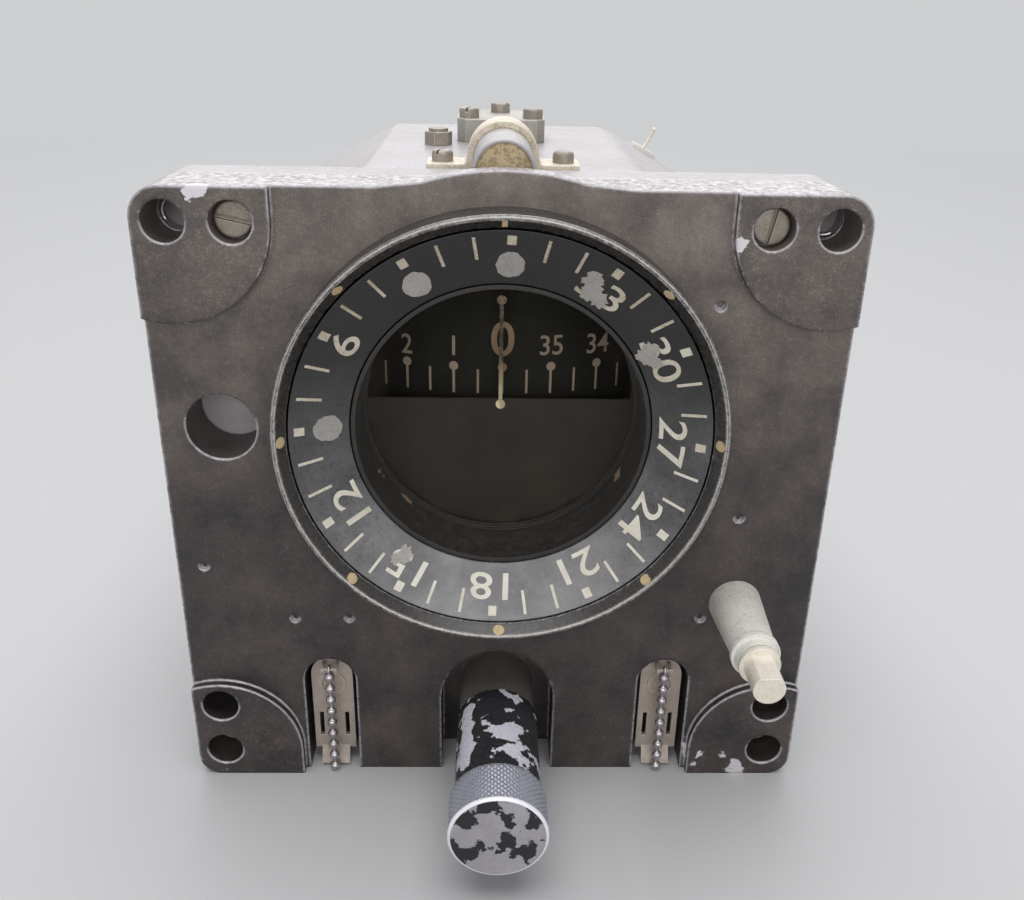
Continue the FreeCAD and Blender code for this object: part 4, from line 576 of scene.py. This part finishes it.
def card_artwork():
    """Numbers, ticks and dots right round the compass card, with a large tan zero."""
    tan, grey = [], []
    for index in range(36):
        turn = -10.0 * index + CARD_TURN
        if index == 0:
            group, height = tan, 13.2
            digits = flat_text(str(index), 7.4, 1.0, bolder=0.1)
        else:
            group, height = grey, 11.4
            digits = flat_text(str(index), 4.3, 0.9, bolder=0.05)
        group.append(wrapped(digits, on_card, turn, height - middle_height(digits)))
        group.append(wrapped(flat_bar(0.55, 6.4), on_card, turn, 4.0))
        group.append(wrapped(flat_dot(1.0), on_card, turn, 6.9, lift=INK + 0.01))
        grey.append(wrapped(flat_bar(0.5, 5.4), on_card, turn - 5.0, 3.6))
    finished("card_zero", outward(joined(tan), away_from_card_axis), card_ink, "outer_gimbal",
             smooth=False)
    finished("card_numbers", outward(joined(grey), away_from_card_axis), grey_ink, "outer_gimbal",
             smooth=False)


def bezel_marks():
    """Eight cream index marks on the bezel's bevel, the upper one a bar."""
    marks = []
    for index in range(8):
        flat = flat_bar(1.0, 2.5) if index == 0 else flat_dot(1.15, 0.05, seed=index)
        marks.append(wrapped(flat, on_bevel, 45.0 * index, 0.0, lift=0.03))
    finished("bezel_marks", outward(joined(marks), forwards), mark_cream, "case", smooth=False)


# Steps in a full turn of the knob's round pieces, and the knurl's ridges and grooves
KNOB_STEPS = 96
RIDGE, GROOVE = 0.22, 0.12


def turned_on_knob(profile):
    """A profile of (along Y, radius) corners spun about the knob's axis."""
    mesh = bmesh.new()
    corners = [mesh.verts.new((0, y * MM, (KNOB_AXIS + radius) * MM)) for y, radius in profile]
    edges = [mesh.edges.new((corners[i], corners[i + 1])) for i in range(len(corners) - 1)]
    bmesh.ops.spin(mesh, geom=corners + edges, cent=(0, 0, KNOB_AXIS * MM), axis=(0, 1, 0),
                   angle=2 * math.pi, steps=KNOB_STEPS, use_merge=True)
    bmesh.ops.remove_doubles(mesh, verts=mesh.verts, dist=0.5e-6)
    bmesh.ops.recalc_face_normals(mesh, faces=mesh.faces)
    return mesh


def caging_knob():
    """The knob's sleeve, its diamond knurl, its bright rim and its worn face."""
    sleeve = turned_on_knob([(-28.9, 8.4), (-28.9, 8.85), (-4.5, 8.85), (-4.2, 8.6), (-4.2, 8.45),
                             (-17.5, 8.45), (-17.5, 3.0)])
    piece = finished("knob_sleeve", sleeve, knob_enamel, "knob")
    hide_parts("caging_knob")

    rows, start, end, radius = 15, -29.2, -38.4, 9.68
    profile = [(start + 0.25, 8.4), (start, 9.4)]
    profile += [(start + (end - start) * row / rows, radius) for row in range(rows + 1)]
    knurl = turned_on_knob(profile)
    for vertex in knurl.verts:
        along = (vertex.co.y / MM - start) / (end - start) * rows
        row = round(along)
        if 0 < row < rows and abs(along - row) < 0.05:
            out = vertex.co - Vector((0, vertex.co.y, KNOB_AXIS * MM))
            step = round(math.atan2(out.x, out.z) / (2 * math.pi) * KNOB_STEPS)
            if (row + step) % 2 == 0:
                vertex.co += out.normalized() * RIDGE * MM
            else:
                vertex.co -= out.normalized() * GROOVE * MM
    # A middle point in each facet keeps both diagonals of the knurl alike
    bmesh.ops.poke(knurl, faces=knurl.faces[:])
    finished("knob_knurl", knurl, knurl_metal, "knob", smooth=False)
    rim = turned_on_knob([(end + 0.02, 9.5), (end, 9.75), (end - 0.1, 9.9), (end - 0.5, 9.87),
                          (-39.0, 9.75), (-39.2, 9.3)])
    finished("knob_rim", rim, rim_metal, "knob")
    face = turned_on_knob([(-39.19, 9.35), (-39.19, 6.0), (-39.19, 0.0)])
    finished("knob_face", face, knob_face_metal, "knob")


# The bead chains: place sideways and along Y, height of the hook, beads, links and the eye
CHAIN_SIDE, CHAIN_FRONT, CHAIN_HOOK = 37.4, -0.7, BASE + 28.1
BEADS, BEAD_RADIUS, BEAD_PITCH = 9, 1.15, 3.1
LINK_RADIUS, LINK_LENGTH = 0.42, 1.6
EYE_RADIUS, EYE_WIRE = 0.85, 0.34


def ball_chain(side):
    """Smooth beads with short links between them, under an eye."""
    x = -CHAIN_SIDE if side == "left" else CHAIN_SIDE
    parts = []
    first = CHAIN_HOOK - EYE_RADIUS - BEAD_RADIUS
    for index in range(BEADS):
        height = first - BEAD_PITCH * index
        bead = bmesh.new()
        place = Matrix.Translation(Vector((x, CHAIN_FRONT, height)) * MM)
        bmesh.ops.create_uvsphere(bead, u_segments=24, v_segments=16, radius=BEAD_RADIUS * MM, matrix=place)
        parts.append(bead)
        if index:
            link = bmesh.new()
            place = Matrix.Translation(Vector((x, CHAIN_FRONT, height + BEAD_PITCH / 2)) * MM)
            bmesh.ops.create_cone(link, cap_ends=True, segments=12, radius1=LINK_RADIUS * MM,
                                  radius2=LINK_RADIUS * MM, depth=LINK_LENGTH * MM, matrix=place)
            parts.append(link)
    eye = bmesh.new()
    upright = Matrix.Rotation(math.pi / 2, 4, "X")
    bmesh.ops.create_circle(eye, segments=12, radius=EYE_WIRE * MM,
                            matrix=Matrix.Translation((EYE_RADIUS * MM, 0, 0)) @ upright)
    bmesh.ops.spin(eye, geom=eye.verts[:] + eye.edges[:], cent=(0, 0, 0), axis=(0, 0, 1), angle=2 * math.pi,
                   steps=24, use_merge=True)
    bmesh.ops.remove_doubles(eye, verts=eye.verts, dist=0.5e-6)
    bmesh.ops.recalc_face_normals(eye, faces=eye.faces)
    at_hook = Matrix.Translation(Vector((x, CHAIN_FRONT, CHAIN_HOOK)) * MM)
    bmesh.ops.transform(eye, matrix=at_hook @ Matrix.Rotation(math.pi / 2, 4, "Y"), verts=eye.verts)
    parts.append(eye)
    piece = finished(f"bead_chain_{side}", joined(parts), bright_steel, f"{side}_chain")
    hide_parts(f"pull_chain_{side}")


# The upper panel holes, how far back the clips lie, and the bend of their wires
HOLE_SIDE, HOLE_RISE, CLIP_DEPTH = 61.9, 41.1, 8.2
WIRE_BEND, WIRE_RADIUS, WIRE_ARC = 2.9, 0.45, 250


def clip_wires():
    """The bent ends of the spring clips, seen through the two upper panel holes."""
    wires = []
    upright = Matrix.Rotation(math.pi / 2, 4, "X")
    for x, turn in ((-HOLE_SIDE, 0.6), (HOLE_SIDE, -0.9)):
        wire = bmesh.new()
        bmesh.ops.create_circle(wire, segments=10, radius=WIRE_RADIUS * MM,
                                matrix=Matrix.Translation((WIRE_BEND * MM, 0, 0)) @ upright)
        bmesh.ops.spin(wire, geom=wire.verts[:] + wire.edges[:], cent=(0, 0, 0), axis=(0, 0, 1),
                       angle=math.radians(WIRE_ARC), steps=24)
        bmesh.ops.holes_fill(wire, edges=wire.edges, sides=0)
        bmesh.ops.recalc_face_normals(wire, faces=wire.faces)
        in_hole = Matrix.Translation(Vector((x, CLIP_DEPTH, HOLE_RISE)) * MM)
        place = in_hole @ Matrix.Rotation(turn, 4, "Y") @ upright
        bmesh.ops.transform(wire, matrix=place, verts=wire.verts)
        wires.append(wire)
    finished("clip_wires", joined(wires), bright_steel, "case")


dial_artwork()
card_artwork()
bezel_marks()
caging_knob()
ball_chain("left")
ball_chain("right")
clip_wires()

# The pale colour of everything that is far away, and the floor's reach in metres
FAR_COLOUR = "#cdced0"
FLOOR_REACH = 60.0


def floor():
    """A plain pale floor that keeps the object's shadow and pales evenly with distance."""
    mesh = bmesh.new()
    bmesh.ops.create_grid(mesh, x_segments=3, y_segments=3, size=FLOOR_REACH,
                          matrix=Matrix.Translation((0, 0, (BASE - 0.05) * MM)))
    # The far edge rises, as a studio sweep does, so no horizon line shows
    for vertex in mesh.verts:
        if max(abs(vertex.co.x), abs(vertex.co.y)) > 50:
            vertex.co.z += 3.0
    data = bpy.data.meshes.new("pale_floor")
    mesh.to_mesh(data)
    mesh.free()
    material = bpy.data.materials.new("pale_floor")
    material.use_nodes = True
    tree = material.node_tree
    tree.nodes.clear()
    place = add(tree, "ShaderNodeTexCoord").outputs["Object"]
    away = add(tree, "ShaderNodeVectorMath", {0: place}, operation="LENGTH")
    far = add(tree, "ShaderNodeMapRange", {"Value": away.outputs["Value"]}, From_Min=0.35, From_Max=1.3)
    near_floor = add(tree, "ShaderNodeBsdfPrincipled", Base_Color=colour("#b9b9ba"), Roughness=0.95)
    far_floor = add(tree, "ShaderNodeEmission", Color=colour(FAR_COLOUR))
    shader = add(tree, "ShaderNodeMixShader",
                 {"Fac": far.outputs["Result"], 1: near_floor.outputs["BSDF"],
                  2: far_floor.outputs["Emission"]})
    add(tree, "ShaderNodeOutputMaterial", {"Surface": shader.outputs["Shader"]})
    data.materials.append(material)
    ground = bpy.data.objects.new("pale_floor", data)
    scene.collection.objects.link(ground)


def studio_lamps():
    """Soft lamps behind, overhead and in front: place and aim in metres, size in metres, and watts."""
    lamps = [("behind_high", (0.0, 1.2, 1.0), (0, 0.05, 0), (1.6, 1.6), 13.0),
             ("overhead", (0.0, -0.1, 1.3), (0, 0, 0), (1.2, 1.2), 15.0),
             ("front_low", (0.0, -1.55, 0.5), (0, 0, 0), (1.9, 0.7), 13.0)]
    for name, place, aim, spread, power in lamps:
        lamp = bpy.data.lights.new(name, "AREA")
        lamp.shape = "RECTANGLE"
        lamp.size, lamp.size_y = spread
        lamp.energy = power
        holder = bpy.data.objects.new(name, lamp)
        holder.location = place
        holder.rotation_euler = (Vector(aim) - Vector(place)).to_track_quat("-Z", "Y").to_euler()
        scene.collection.objects.link(holder)


def pale_surround():
    """A world that lights the object more from above and behind than from the front."""
    world = bpy.data.worlds.new("pale_surround")
    world.use_nodes = True
    tree = world.node_tree
    tree.nodes.clear()
    direction = add(tree, "ShaderNodeTexCoord").outputs["Generated"]
    behind = add(tree, "ShaderNodeVectorMath", {0: direction}, operation="DOT_PRODUCT")
    behind.inputs[1].default_value = (0.0, 0.8, 0.6)
    level = add(tree, "ShaderNodeMapRange", {"Value": behind.outputs["Value"]},
                From_Min=-0.6, From_Max=0.8, To_Min=0.18, To_Max=0.55)
    surround = add(tree, "ShaderNodeBackground", {"Strength": level.outputs["Result"]},
                   Color=colour("#eceef2"))
    # What is seen of the surround, straight or in metal and glass, is the floor's own pale colour
    rays = add(tree, "ShaderNodeLightPath").outputs
    mirrored = add(tree, "ShaderNodeMath", {0: rays["Is Glossy Ray"], 1: rays["Is Transmission Ray"]},
                   operation="MAXIMUM")
    seen = add(tree, "ShaderNodeMath", {0: rays["Is Camera Ray"], 1: mirrored.outputs[0]},
               operation="MAXIMUM")
    backdrop = add(tree, "ShaderNodeBackground", Color=colour(FAR_COLOUR), Strength=1.0)
    shown = add(tree, "ShaderNodeMixShader",
                {"Fac": seen.outputs[0], 1: surround.outputs["Background"],
                 2: backdrop.outputs["Background"]})
    add(tree, "ShaderNodeOutputWorld", {"Surface": shown.outputs["Shader"]})
    scene.world = world


def camera_at_photo():
    """The camera where the photograph was taken from."""
    camera = bpy.data.cameras.new("photo_camera")
    camera.sensor_width = 36.0
    camera.lens = 35.76
    camera.clip_start = 0.01
    holder = bpy.data.objects.new("photo_camera", camera)
    pitch, yaw, roll = math.radians(24.05), math.radians(-1.637), math.radians(1.151)
    forward = Vector((-math.sin(yaw) * math.cos(pitch), math.cos(yaw) * math.cos(pitch), -math.sin(pitch)))
    level = Vector((math.cos(yaw), math.sin(yaw), 0))
    upright = level.cross(forward)
    right = level * math.cos(roll) + upright * math.sin(roll)
    up = upright * math.cos(roll) - level * math.sin(roll)
    turn = Matrix((right, up, -forward)).transposed().to_4x4()
    holder.matrix_world = Matrix.Translation(Vector((-3.1, -187.8, 79.4)) * MM) @ turn
    scene.collection.objects.link(holder)
    scene.camera = holder


floor()
studio_lamps()
pale_surround()
camera_at_photo()
